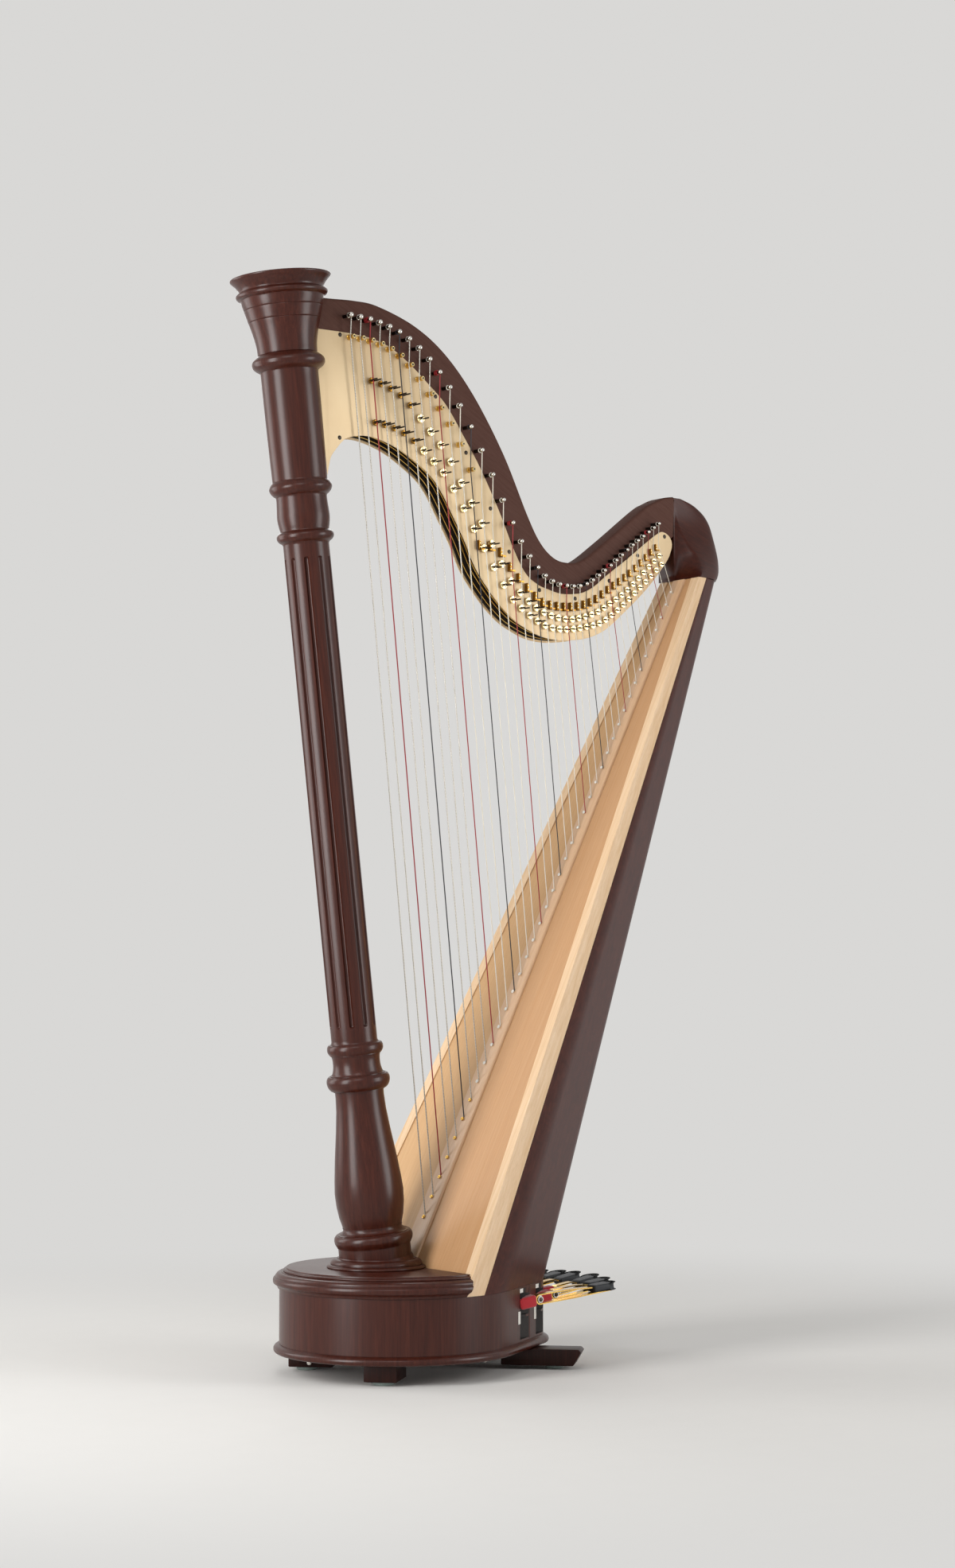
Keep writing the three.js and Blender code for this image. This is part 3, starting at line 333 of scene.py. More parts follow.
def stamp(template: Shape, places: Sequence[Sequence[float]], turns: Optional[Sequence[np.ndarray]] = None,
          scales: Optional[Sequence[float]] = None) -> Shape:
    """Copies of one shape at many places, joined in one mesh.

    Args:
        template: the shape to copy.
        places: where each copy goes.
        turns: rotation of each copy.
        scales: size of each copy.

    Returns:
        All copies.
    """
    count = len(places)
    points = np.repeat(template.points[None], count, 0)
    if scales is not None:
        points = points * np.asarray(scales, float)[:, None, None]
    if turns is not None:
        points = np.einsum("nij,npj->npi", np.asarray(turns, float), points)
    points = points + np.asarray(places, float)[:, None]
    size = len(template.points)
    faces = [tuple(k + n * size for k in face) for n in range(count) for face in template.faces]
    return Shape(points.reshape(-1, 3), faces)


def together(*shapes: Shape) -> Shape:
    """Several shapes in one mesh."""
    points, faces, start = [], [], 0
    for shape in shapes:
        points.append(shape.points)
        faces += [tuple(k + start for k in face) for face in shape.faces]
        start += len(shape.points)
    return Shape(np.vstack(points), faces)


def turned_on_y(profile: Sequence[Sequence[float]], count: int) -> Shape:
    """Body turned about the Y axis.

    Args:
        profile: places along Y and radii, from the near end.
        count: steps round it.

    Returns:
        The closed body.
    """
    return revolve(np.asarray(profile, float), count).moved((0, 0, 0), turn_about("x", -math.pi / 2))


def rounded(outline: np.ndarray, radius: float, steps: int = 4) -> np.ndarray:
    """Outline with each corner replaced by a short curve, a quadratic arc between points near the corner.

    Args:
        outline: corners in order.
        radius: how far from each corner the curve starts.
        steps: points in each curve.

    Returns:
        The new outline.
    """
    points = []
    count = len(outline)
    for i in range(count):
        here, before, after = outline[i], outline[i - 1], outline[(i + 1) % count]
        back = (before - here) / np.linalg.norm(before - here)
        ahead = (after - here) / np.linalg.norm(after - here)
        start, end = here + back * radius, here + ahead * radius
        t = np.linspace(0, 1, steps + 1)[:, None]
        points.append((1 - t) ** 2 * start + 2 * t * (1 - t) * here + t**2 * end)
    return np.vstack(points)


def settle_normals(mesh: bpy.types.Mesh) -> None:
    """Points the faces of every closed body in a mesh outwards."""
    work = bmesh.new()
    work.from_mesh(mesh)
    bmesh.ops.recalc_face_normals(work, faces=work.faces)
    work.to_mesh(mesh)
    work.free()


@dataclass
class Workshop:
    """Makes finished pieces: meshes in the part's frame that ride on a body and stand for a node."""

    made: int = 0

    def piece(self, name: str, shape: Shape, placement: Placement, finish: "Finish", body: str, slot: str,
              stands_for: Sequence[str] = (), smooth: float = 35.0, cutters: Optional[Shape] = None,
              inside: Optional["Finish"] = None) -> bpy.types.Object:
        """Puts a shape in the scene and dresses it.

        Args:
            name: name of the piece.
            shape: its bodies, in the sub-assembly's millimetres.
            placement: where the sub-assembly lies.
            finish: its material.
            body: the moving body that carries it.
            slot: the record's material slot; not used.
            stands_for: nodes that it replaces.
            smooth: edges sharper than this many degrees stay sharp.
            cutters: bodies taken away from it.
            inside: finish of the faces that the cutters leave.

        Returns:
            The finished object.
        """
        obj = self._object(name, shape, placement)
        obj.data.materials.append(finish.material())
        if cutters is not None:
            cutter = self._object(name + "_cutter", cutters, placement)
            cutter.data.materials.append((inside or finish).material())
            self._cut(obj, cutter)
        mesh = obj.data
        mesh.polygons.foreach_set("use_smooth", np.ones(len(mesh.polygons), bool))
        mesh.set_sharp_from_angle(angle=math.radians(smooth))
        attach(obj, body)
        if stands_for:
            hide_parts(*stands_for)
        self.made += 1
        LOG.info("%s: %d faces on %s", name, len(mesh.polygons), body)
        return obj

    @staticmethod
    def _object(name: str, shape: Shape, placement: Placement) -> bpy.types.Object:
        """Mesh object from a shape, with its place in its mesh."""
        mesh = bpy.data.meshes.new(name)
        mesh.from_pydata(placement.to_frame(shape.points).tolist(), [], shape.faces)
        mesh.validate()
        settle_normals(mesh)
        obj = bpy.data.objects.new(name, mesh)
        bpy.context.scene.collection.objects.link(obj)
        return obj

    @staticmethod
    def _cut(obj: bpy.types.Object, cutter: bpy.types.Object) -> None:
        """Takes the cutter away from a piece and keeps the result as its mesh."""
        change = obj.modifiers.new("cut", "BOOLEAN")
        change.operation = "DIFFERENCE"
        change.solver = "EXACT"
        change.material_mode = "TRANSFER"
        change.object = cutter
        bpy.context.view_layer.update()
        whole = obj.evaluated_get(bpy.context.evaluated_depsgraph_get())
        mesh = bpy.data.meshes.new_from_object(whole)
        obj.modifiers.clear()
        obj.data = mesh
        mesh.name = obj.name
        bpy.data.objects.remove(cutter)


SHOP = Workshop()


# Finishes


def add(tree: Tree, kind: str, settings: Optional[dict] = None, links: Optional[dict] = None) -> Node:
    """Adds a node.

    Args:
        tree: the material's node tree.
        kind: type name of the node.
        settings: attributes, or values of inputs by name or number.
        links: output sockets to join to inputs, by name or number.

    Returns:
        The node.
    """
    node = tree.nodes.new(kind)
    for key, value in (settings or {}).items():
        if isinstance(key, int) or key in node.inputs.keys():
            node.inputs[key].default_value = value
        else:
            setattr(node, key, value)
    for key, socket in (links or {}).items():
        tree.links.new(socket, node.inputs[key])
    return node


def ramp(tree: Tree, source: Socket, stops: Sequence[tuple[float, str]]) -> Socket:
    """Colours along a value.

    Args:
        tree: the material's node tree.
        source: the value.
        stops: places and hex colours.

    Returns:
        The colour output.
    """
    node = add(tree, "ShaderNodeValToRGB", links={0: source})
    points = node.color_ramp.elements
    while len(points) < len(stops):
        points.new(0.5)
    for point, (place, colour) in zip(points, stops):
        point.position = place
        point.color = linear(colour)
    return node.outputs["Color"]


def object_place(tree: Tree) -> Socket:
    """Place on the object in metres, from which a pattern starts."""
    return add(tree, "ShaderNodeTexCoord").outputs["Object"]


def mapped(tree: Tree, place: Socket, **how: object) -> Socket:
    """Pattern's place, turned or scaled as the named inputs say."""
    return add(tree, "ShaderNodeMapping", how, {"Vector": place}).outputs[0]


def noise(tree: Tree, place: Socket, **how: float) -> Socket:
    """Cloudy value between nought and one, set by the named inputs."""
    return add(tree, "ShaderNodeTexNoise", how, {"Vector": place}).outputs["Fac"]


def ranged(tree: Tree, value: Socket, how: dict) -> Socket:
    """Value carried from one range to another."""
    return add(tree, "ShaderNodeMapRange", how, {"Value": value}).outputs[0]


def multiplied(tree: Tree, colour: Socket, by: Socket, share: float) -> Socket:
    """Colour multiplied by another, as far as the share says."""
    how = {"data_type": "RGBA", "blend_type": "MULTIPLY", 0: share}
    return add(tree, "ShaderNodeMix", how, {6: colour, 7: by}).outputs[2]


def bumped(tree: Tree, height: Socket, strength: float, depth_m: float) -> Socket:
    """Surface direction tilted by a height pattern."""
    return add(tree, "ShaderNodeBump", {"Strength": strength, "Distance": depth_m}, {"Height": height}).outputs[0]


def reckoned(tree: Tree, operation: str, first: Socket, second: Socket) -> Socket:
    """Two values joined by a named operation."""
    return add(tree, "ShaderNodeMath", {"operation": operation}, {0: first, 1: second}).outputs[0]


def tune(tree: Tree, shader: Node, inputs: dict) -> None:
    """Sets inputs of a shader by name, each to a plain value or to another node's output."""
    for name, value in inputs.items():
        if isinstance(value, Socket):
            tree.links.new(value, shader.inputs[name])
        else:
            shader.inputs[name].default_value = value


class Grain(Enum):
    """Which way the fibres of a wooden piece run, as turns of the pattern about X, Y and Z in degrees."""

    ALONG_COLUMN = (0.0, 6.9, 0.0)
    ALONG_BODY = (0.0, -26.6, 0.0)
    DOWN_NECK = (0.0, 62.0, 0.0)
    UP = (0.0, 0.0, 0.0)


@dataclass(frozen=True)
class Finish:
    """A finish that is made once, when it is first used."""

    name: str

    def material(self) -> bpy.types.Material:
        """The material, made at the first call."""
        found = bpy.data.materials.get(self.name)
        if found:
            return found
        made = bpy.data.materials.new(self.name)
        made.use_nodes = True
        made.node_tree.nodes.clear()
        shader = add(made.node_tree, "ShaderNodeBsdfPrincipled")
        add(made.node_tree, "ShaderNodeOutputMaterial", links={0: shader.outputs[0]})
        self.dress(made.node_tree, shader)
        return made

    def dress(self, tree: Tree, shader: Node) -> None:
        """Adds the pattern of the finish."""
        raise NotImplementedError


@dataclass(frozen=True)
class LacqueredWood(Finish):
    """Wood under clear lacquer: long fibres with slow bands of colour, short dark pores and a smooth top coat."""

    dark: str = "#341209"
    middle: str = "#3e180e"
    light: str = "#4a2014"
    grain: Grain = Grain.UP
    band_mm: float = 5.0
    stretch: float = 22.0
    figure: float = 0.0
    pores: float = 0.2
    roughness: float = 0.42
    shine: float = 0.04
    coat: float = 0.6
    coat_roughness: float = 0.26
    near_half_painted_shade: float = 0.0

    def dress(self, tree: Tree, shader: Node) -> None:
        """Colour is a noise drawn out along the fibres; pores are a finer noise, drawn out more."""
        place = object_place(tree)
        turned = mapped(tree, place, Rotation=tuple(math.radians(a) for a in self.grain.value))
        fibres = mapped(tree, turned, Scale=(1, 1, 1 / self.stretch))
        per_metre = 1000 / self.band_mm
        bands = noise(tree, fibres, Scale=per_metre, Detail=5.0, Roughness=0.6, Distortion=0.5)
        if self.figure:
            curl = noise(tree, turned, Scale=per_metre / 2.2, Detail=3.0, Roughness=0.55, Distortion=1.6)
            how = {"data_type": "FLOAT", 0: self.figure}
            bands = add(tree, "ShaderNodeMix", how, {2: bands, 3: curl}).outputs[0]
        colour = ramp(tree, bands, [(0.3, self.dark), (0.5, self.middle), (0.72, self.light)])
        if self.near_half_painted_shade:
            # Painted shade: the near half, on -Y, is tinted a little darker than the far one, to even out the lamps
            # that light it more.
            side = add(tree, "ShaderNodeSeparateXYZ", links={0: place}).outputs["Y"]
            half = ranged(tree, side, {"From Min": -0.002, "From Max": 0.002})
            tint = ramp(tree, half, [(0.0, "#f0e8e8"), (1.0, "#ffffff")])
            colour = multiplied(tree, colour, tint, self.near_half_painted_shade)
        # Pores a third of a millimetre wide would not show, so they are drawn about 0.8 mm wide.
        fine = noise(tree, mapped(tree, turned, Scale=(1, 1, 0.03)), Scale=1250.0, Detail=2.0, Roughness=0.5)
        pores = ramp(tree, fine, [(0.36, "#8a8a8a"), (0.52, "#ffffff")])
        tune(tree, shader, {
            "Base Color": multiplied(tree, colour, pores, self.pores),
            "Normal": bumped(tree, fine, 0.05, 0.0004),
            "Roughness": self.roughness,
            "Specular IOR Level": self.shine,
            "Coat Weight": self.coat,
            "Coat Roughness": self.coat_roughness,
            "IOR": 1.5,
        })


@dataclass(frozen=True)
class WorkedMetal(Finish):
    """Metal, brushed or polished: even colour, with fine scratches one way in its gloss."""

    colour: str = "#e9cfa0"
    shade: str = "#d8b982"
    roughness: float = 0.3
    scratch_mm: float = 0.6
    stretch: Corner = (1.0, 1.0, 1.0)
    wobble: float = 0.06
    metallic: float = 1.0

    def dress(self, tree: Tree, shader: Node) -> None:
        """Roughness and tint follow a fine noise drawn out along the brush strokes."""
        place = object_place(tree)
        strokes = noise(tree, mapped(tree, place, Scale=self.stretch), Scale=1000 / self.scratch_mm, Detail=3.0)
        clouds = noise(tree, place, Scale=14.0, Detail=2.0)
        swing = {"To Min": self.roughness - self.wobble, "To Max": self.roughness + self.wobble}
        tune(tree, shader, {
            "Base Color": ramp(tree, clouds, [(0.3, self.shade), (0.7, self.colour)]),
            "Roughness": ranged(tree, strokes, swing),
            "Metallic": self.metallic,
        })


@dataclass(frozen=True)
class PlainSurface(Finish):
    """Non-metal with a grain of its own: rubber, felt, gut, nylon or matt paint."""

    colour: str = "#808080"
    shade: str = "#707070"
    roughness: float = 0.6
    grain_mm: float = 1.0
    bump: float = 0.2
    sheen: float = 0.0

    def dress(self, tree: Tree, shader: Node) -> None:
        """Colour and bump follow one fine noise."""
        grain = noise(tree, object_place(tree), Scale=1000 / self.grain_mm, Detail=4.0)
        tune(tree, shader, {
            "Base Color": ramp(tree, grain, [(0.3, self.shade), (0.7, self.colour)]),
            "Normal": bumped(tree, grain, self.bump, self.grain_mm * MM),
            "Roughness": self.roughness,
            "Sheen Weight": self.sheen,
        })


@dataclass(frozen=True)
class WoundWire(Finish):
    """Wire wrapped round a string's core: bright turns side by side along the string, with painted shade in the
    grooves between them.
    """

    colour: str = "#dcd8cf"
    shade: str = "#928d83"
    wave_scale: float = 176.928521

    def dress(self, tree: Tree, shader: Node) -> None:
        """Turns are a wave along the height, dark between them as painted shade in the grooves; real ones of 0.3 mm
        would not show, so these are about 1.8 mm.

        At scale one the wave repeats every tenth of pi, here 0.314 m, and the scale divides that.
        """
        how = {"bands_direction": "Z", "Scale": self.wave_scale}
        wave = add(tree, "ShaderNodeTexWave", how, {"Vector": object_place(tree)}).outputs["Fac"]
        tune(tree, shader, {
            "Base Color": ramp(tree, wave, [(0.2, self.shade), (0.8, self.colour)]),
            "Metallic": 0.85,
            "Roughness": 0.35,
        })


@dataclass(frozen=True)
class StudioPaper(Finish):
    """Pale paper on the floor that runs into the backdrop, so that no edge shows behind the harp."""

    colour: str = "#f1efeb"
    shade: str = "#f0eeea"
    backdrop: str = "#e9e8e6"
    backdrop_strength: float = 0.85
    near_m: float = 0.6
    far_m: float = 2.1

    def dress(self, tree: Tree, shader: Node) -> None:
        """Lit paper near the harp; further out, seen or mirrored, it turns to the backdrop's colour by distance."""
        place = object_place(tree)
        fleck = noise(tree, place, Scale=18.0, Detail=3.0)
        tune(tree, shader, {
            "Base Color": ramp(tree, fleck, [(0.3, self.shade), (0.7, self.colour)]),
            "Roughness": 0.8,
            "Specular IOR Level": 0.1,
        })
        away = add(tree, "ShaderNodeVectorMath", {"operation": "LENGTH"}, {0: place}).outputs["Value"]
        fade = {"interpolation_type": "SMOOTHSTEP", "From Min": self.near_m, "From Max": self.far_m}
        seen = reckoned(tree, "MULTIPLY", ranged(tree, away, fade), seen_ray(tree))
        glow = {"Color": linear(self.backdrop), "Strength": self.backdrop_strength}
        lit = add(tree, "ShaderNodeEmission", glow).outputs[0]
        mixed = add(tree, "ShaderNodeMixShader", links={0: seen, 1: shader.outputs[0], 2: lit}).outputs[0]
        tree.links.new(mixed, tree.nodes["Material Output"].inputs[0])


def seen_ray(tree: Tree) -> Socket:
    """One where a surface is looked at, mirrored or seen through glass, and nought where it lights others."""
    rays = add(tree, "ShaderNodeLightPath").outputs
    seen = reckoned(tree, "MAXIMUM", rays["Is Camera Ray"], rays["Is Glossy Ray"])
    return reckoned(tree, "MAXIMUM", seen, rays["Is Transmission Ray"])


# Seamless paper, matt: pale and even, so that only the harp's soft shadow shows on it.
STUDIO_PAPER = StudioPaper("paper_seamless")
# Mahogany, turned, stained red-brown and lacquered: fine upright lines under a smooth gloss that shows each bead.
MAHOGANY_COLUMN = LacqueredWood("mahogany_turned", grain=Grain.ALONG_COLUMN)
# Mahogany laminated and sawn to the neck's curve: the lines run down across it, with a softer shine; its colours are
# lighter and mauve, painted sheen for the soft light that its near face takes.
MAHOGANY_NECK_PAINTED_SHEEN = LacqueredWood(
    "mahogany_neck_painted_sheen", dark="#573b33", middle="#5c4038", light="#61453d", grain=Grain.DOWN_NECK, band_mm=3.0,
    stretch=22.0, pores=0.08, roughness=0.5, shine=0.0, coat=0.07, coat_roughness=0.4,
)
# Mahogany bent and moulded for the base: straight upright grain, close and even.
MAHOGANY_BASE = LacqueredWood("mahogany_base", grain=Grain.UP, stretch=26.0)
# Mahogany sawn in short blocks for the feet: darker and duller than the base.
MAHOGANY_FEET = LacqueredWood(
    "mahogany_feet", dark="#1f0b06", middle="#270e08", light="#30130c", grain=Grain.UP, stretch=26.0, coat=0.3,
)
# Mahogany carved from a block for the shoulder: the same stain on end and side grain.
MAHOGANY_BLOCK = LacqueredWood(
    "mahogany_shoulder", grain=Grain.DOWN_NECK, stretch=12.0, roughness=0.44, coat=0.4, coat_roughness=0.3,
)
# Mahogany veneer pressed round the shell: cloudy figure across the grain, darker than the solid wood.
FIGURED_SHELL = LacqueredWood(
    "mahogany_figured_veneer", dark="#33130d", middle="#431c14", light="#54281d", grain=Grain.ALONG_BODY,
    band_mm=9.0, stretch=5.0, figure=0.45, coat=0.36, coat_roughness=0.3,
)
# Spruce, planed and lacquered: pale gold with very fine even lines up the board, and painted shade on its near half.
SPRUCE = LacqueredWood(
    "spruce_soundboard", dark="#cca172", middle="#cfa678", light="#d3ac80", grain=Grain.ALONG_BODY,
    band_mm=4.0, stretch=90.0, pores=0.08, roughness=0.42, coat=0.25, near_half_painted_shade=1.0,
)
# Maple strip, sanded and lacquered: cream, almost plain, so it reads as a light line round the board.
MAPLE = LacqueredWood(
    "maple_edging", dark="#dbb78e", middle="#e3c29c", light="#eacdaa", grain=Grain.ALONG_BODY,
    band_mm=6.0, stretch=50.0, pores=0.06, roughness=0.38, coat=0.25,
)
# Beech strip, planed and lacquered: a tone pinker than the board, so the rib shows as a strip of its own.
RIB_WOOD = LacqueredWood(
    "beech_rib", dark="#d2a981", middle="#d8b18b", light="#dfba96", grain=Grain.ALONG_BODY, band_mm=4.0,
    stretch=60.0, pores=0.08, roughness=0.4, shine=0.3, coat=0.25,
)
# Brass sheet, brushed and satin lacquered: pale champagne, with an even soft sheen and no mirror.
SATIN_PLATE = WorkedMetal(
    "brass_satin_lacquered", colour="#e0c8a0", shade="#dcc299", roughness=0.52, stretch=(1.0, 1.0, 0.05),
    metallic=0.3,
)
# Brass rod, polished: warm gold with sharp bright and dark reflections.
GOLD = WorkedMetal("brass_polished", colour="#e3bf6e", shade="#cda04b", roughness=0.18, scratch_mm=0.8, wobble=0.05)
# Brass discs, turned and buffed: paler than the pins, so they stand out light on the plate.
PALE_GOLD = WorkedMetal("brass_buffed", colour="#f4e3b4", shade="#e9d194", roughness=0.22, wobble=0.05)
# Brass pins, turned and left to darken: bronze brown with a gold glint along each groove.
BRONZE = WorkedMetal("brass_darkened", colour="#a37a35", shade="#7d5820", roughness=0.28, wobble=0.05)
# Steel pins, nickelled and polished: small white highlights on grey.
NICKEL = WorkedMetal("steel_nickelled", colour="#dedbd4", shade="#c4c0b8", roughness=0.14, wobble=0.04)
# Steel screws, blued: near black with a dull shine; on the tuning pin shanks and in the ends of the bridge pins the
# same near black is painted shade.
DARK_STEEL = WorkedMetal("steel_blued_and_painted_shade", colour="#453e39", shade="#2c2825", roughness=0.34)
# Steel bar, rolled and ground: plain grey working parts inside the base and the column.
LEVER_STEEL = WorkedMetal("steel_bright", colour="#b4b3ae", shade="#8f8e8a", roughness=0.3)
# Rubber, moulded, black: soft matt caps on the pedals.
RUBBER = PlainSurface("rubber_black", colour="#292c31", shade="#1b1d20", roughness=0.6, grain_mm=0.8)
# Rubber, moulded, grey: dull pads under the feet.
PAD_RUBBER = PlainSurface("rubber_grey", colour="#8f9c96", shade="#77837e", roughness=0.75, grain_mm=1.2)
# Gut, twisted and polished: cream, slightly waxy.
GUT = PlainSurface("gut_string", colour="#efeadc", shade="#dfd8c8", roughness=0.35, grain_mm=0.7, bump=0.05)
# Gut dyed red: the C strings.
RED_STRING = PlainSurface("gut_string_red", colour="#a8262c", shade="#8f1c23", roughness=0.4, grain_mm=0.7, bump=0.05)
# Gut dyed blue-black: the F strings.
DARK_STRING = PlainSurface("gut_string_blue_black", colour="#26242b", shade="#191820", roughness=0.4, grain_mm=0.7)
# Steel core wound with fine wire: silver with close cross lines of painted shade.
WIRE = WoundWire("steel_wound_string")
# Painted shade, matt black: a sheet in the gap between the plates, so that it reads as a dark channel, and the faces
# cut by the pedal slots, so that they read as the dark inside of the base.
PAINTED_SHADE_BLACK = PlainSurface("painted_shade_black_matt", colour="#211a17", shade="#181311", roughness=0.7, grain_mm=2.0)
# Nylon, turned: milky rings where the strings come through the board.
GROMMET = PlainSurface("nylon_grommet", colour="#f4f1ea", shade="#e6e2d8", roughness=0.3, grain_mm=0.8, bump=0.05)
# Wool felt, pressed, white: fuzzy and shadowless, in the pedal slots.
WHITE_FELT = PlainSurface(
    "felt_white", colour="#efece5", shade="#d9d5cc", roughness=0.95, grain_mm=0.9, bump=0.5, sheen=0.4,
)
# Wool felt, pressed, red: fuzzy, round the pedal levers.
RED_FELT = PlainSurface(
    "felt_red", colour="#c4202c", shade="#a21924", roughness=0.95, grain_mm=0.9, bump=0.5, sheen=0.4,
)


# The harp's main lines


@dataclass
class HarpLines:
    """Sizes that several sub-assemblies share, in millimetres."""

    axle_x: float = -60.0
    box_low: float = 47.3
    box_top: float = 134.3
    deck: float = 167.6
    front_x: float = 42.5
    front_radius: float = 188.0
    rear_x: float = 239.0
    rear_radius: float = 78.0
    board_foot_x: float = 62.0
    board_slope: float = 0.502
    body_top: float = 1322.0
    top_half_width: float = 52.0
    top_rear_radius: float = 40.0
    top_run: float = 26.0
    column_x: float = 2.8
    lean: float = math.atan(0.1203)
    neck_x: float = -160.0
    neck_angle: float = math.radians(2.5)
    shift_x: float = field(init=False)

    def __post_init__(self) -> None:
        """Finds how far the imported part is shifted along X, from the place of its axle."""
        low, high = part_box("pedal_axle")
        self.shift_x = (low.x + high.x) / 2 / MM - self.axle_x

    def base(self) -> Placement:
        """Placement of what is drawn in the harp's own millimetres."""
        return Placement(np.eye(3), np.array([self.shift_x, 0.0, 0.0]))

    def column(self) -> Placement:
        """Placement of what is drawn along the column's leaning axis."""
        return Placement(turn_about("y", -self.lean), np.array([self.shift_x + self.column_x, 0.0, self.deck]))

    def neck(self) -> Placement:
        """Placement of what is drawn along the neck."""
        return Placement(turn_about("z", self.neck_angle), np.array([self.shift_x + self.neck_x, 0.0, 0.0]))

    def neck_local(self, points: np.ndarray) -> np.ndarray:
        """Points in the harp's millimetres, seen from the neck's own frame."""
        origin = np.array([self.neck_x, 0.0, 0.0])
        return (np.asarray(points, float) - origin) @ turn_about("z", self.neck_angle)

    def board_x(self, z: np.ndarray | float) -> np.ndarray | float:
        """Face of the soundboard at a height: a straight line."""
        return self.board_foot_x + (z - self.deck) * self.board_slope

    def plan(
        self, front_x: float, front_r: float, rear_x: float, rear_r: float, start_x: float, steps: int
    ) -> np.ndarray:
        """Plan of two circles joined by their common tangents, from the -Y front round the rear to the +Y front.

        Args:
            front_x: middle of the front circle.
            front_r: its radius.
            rear_x: middle of the rear circle.
            rear_r: its radius.
            start_x: where the front is trimmed away.
            steps: points on half the plan.

        Returns:
            Points in x and y.
        """
        taper = math.asin((front_r - rear_r) / (rear_x - front_x))
        front_tangent = front_x + front_r * math.sin(taper)
        rear_tangent = rear_x + rear_r * math.sin(taper)
        x = start_x + (rear_tangent - start_x) * (1 - np.cos(np.linspace(0, math.pi / 2, steps)))
        flank = rear_r * math.cos(taper) + (rear_tangent - x) * math.tan(taper)
        arc = np.sqrt(np.maximum(front_r**2 - (x - front_x) ** 2, 0))
        side = np.column_stack([x, -np.where(x < front_tangent, arc, flank)])
        angle = np.linspace(math.pi / 2 - taper, 0, steps // 2)[1:]
        rear = np.column_stack([rear_x + rear_r * np.cos(angle), -rear_r * np.sin(angle)])
        half = np.vstack([side, rear])
        return np.vstack([half, half[-2::-1] * [1, -1]])

    def base_plan(self, grow: float, steps: int = 48) -> np.ndarray:
        """Whole closed plan of the base, grown outwards."""
        start = self.front_x - self.front_radius - grow
        ring = self.plan(self.front_x, self.front_radius + grow, self.rear_x, self.rear_radius + grow, start, steps)
        return ring[:-1]

    def body_plan(self, z: float, inset: float, behind: float, steps: int = 40) -> np.ndarray:
        """Open section of the sound box at a height, trimmed behind the soundboard face."""
        share = (z - self.box_top) / (self.body_top - self.box_top)
        top_x = self.board_x(self.body_top)

        def mix(low: float, high: float) -> float:
            return low + (high - low) * share

        return self.plan(
            mix(self.front_x, top_x), mix(self.front_radius, self.top_half_width) - inset,
            mix(self.rear_x, top_x + self.top_run), mix(self.rear_radius, self.top_rear_radius) - inset,
            self.board_x(z) + behind, steps,
        )


# Base


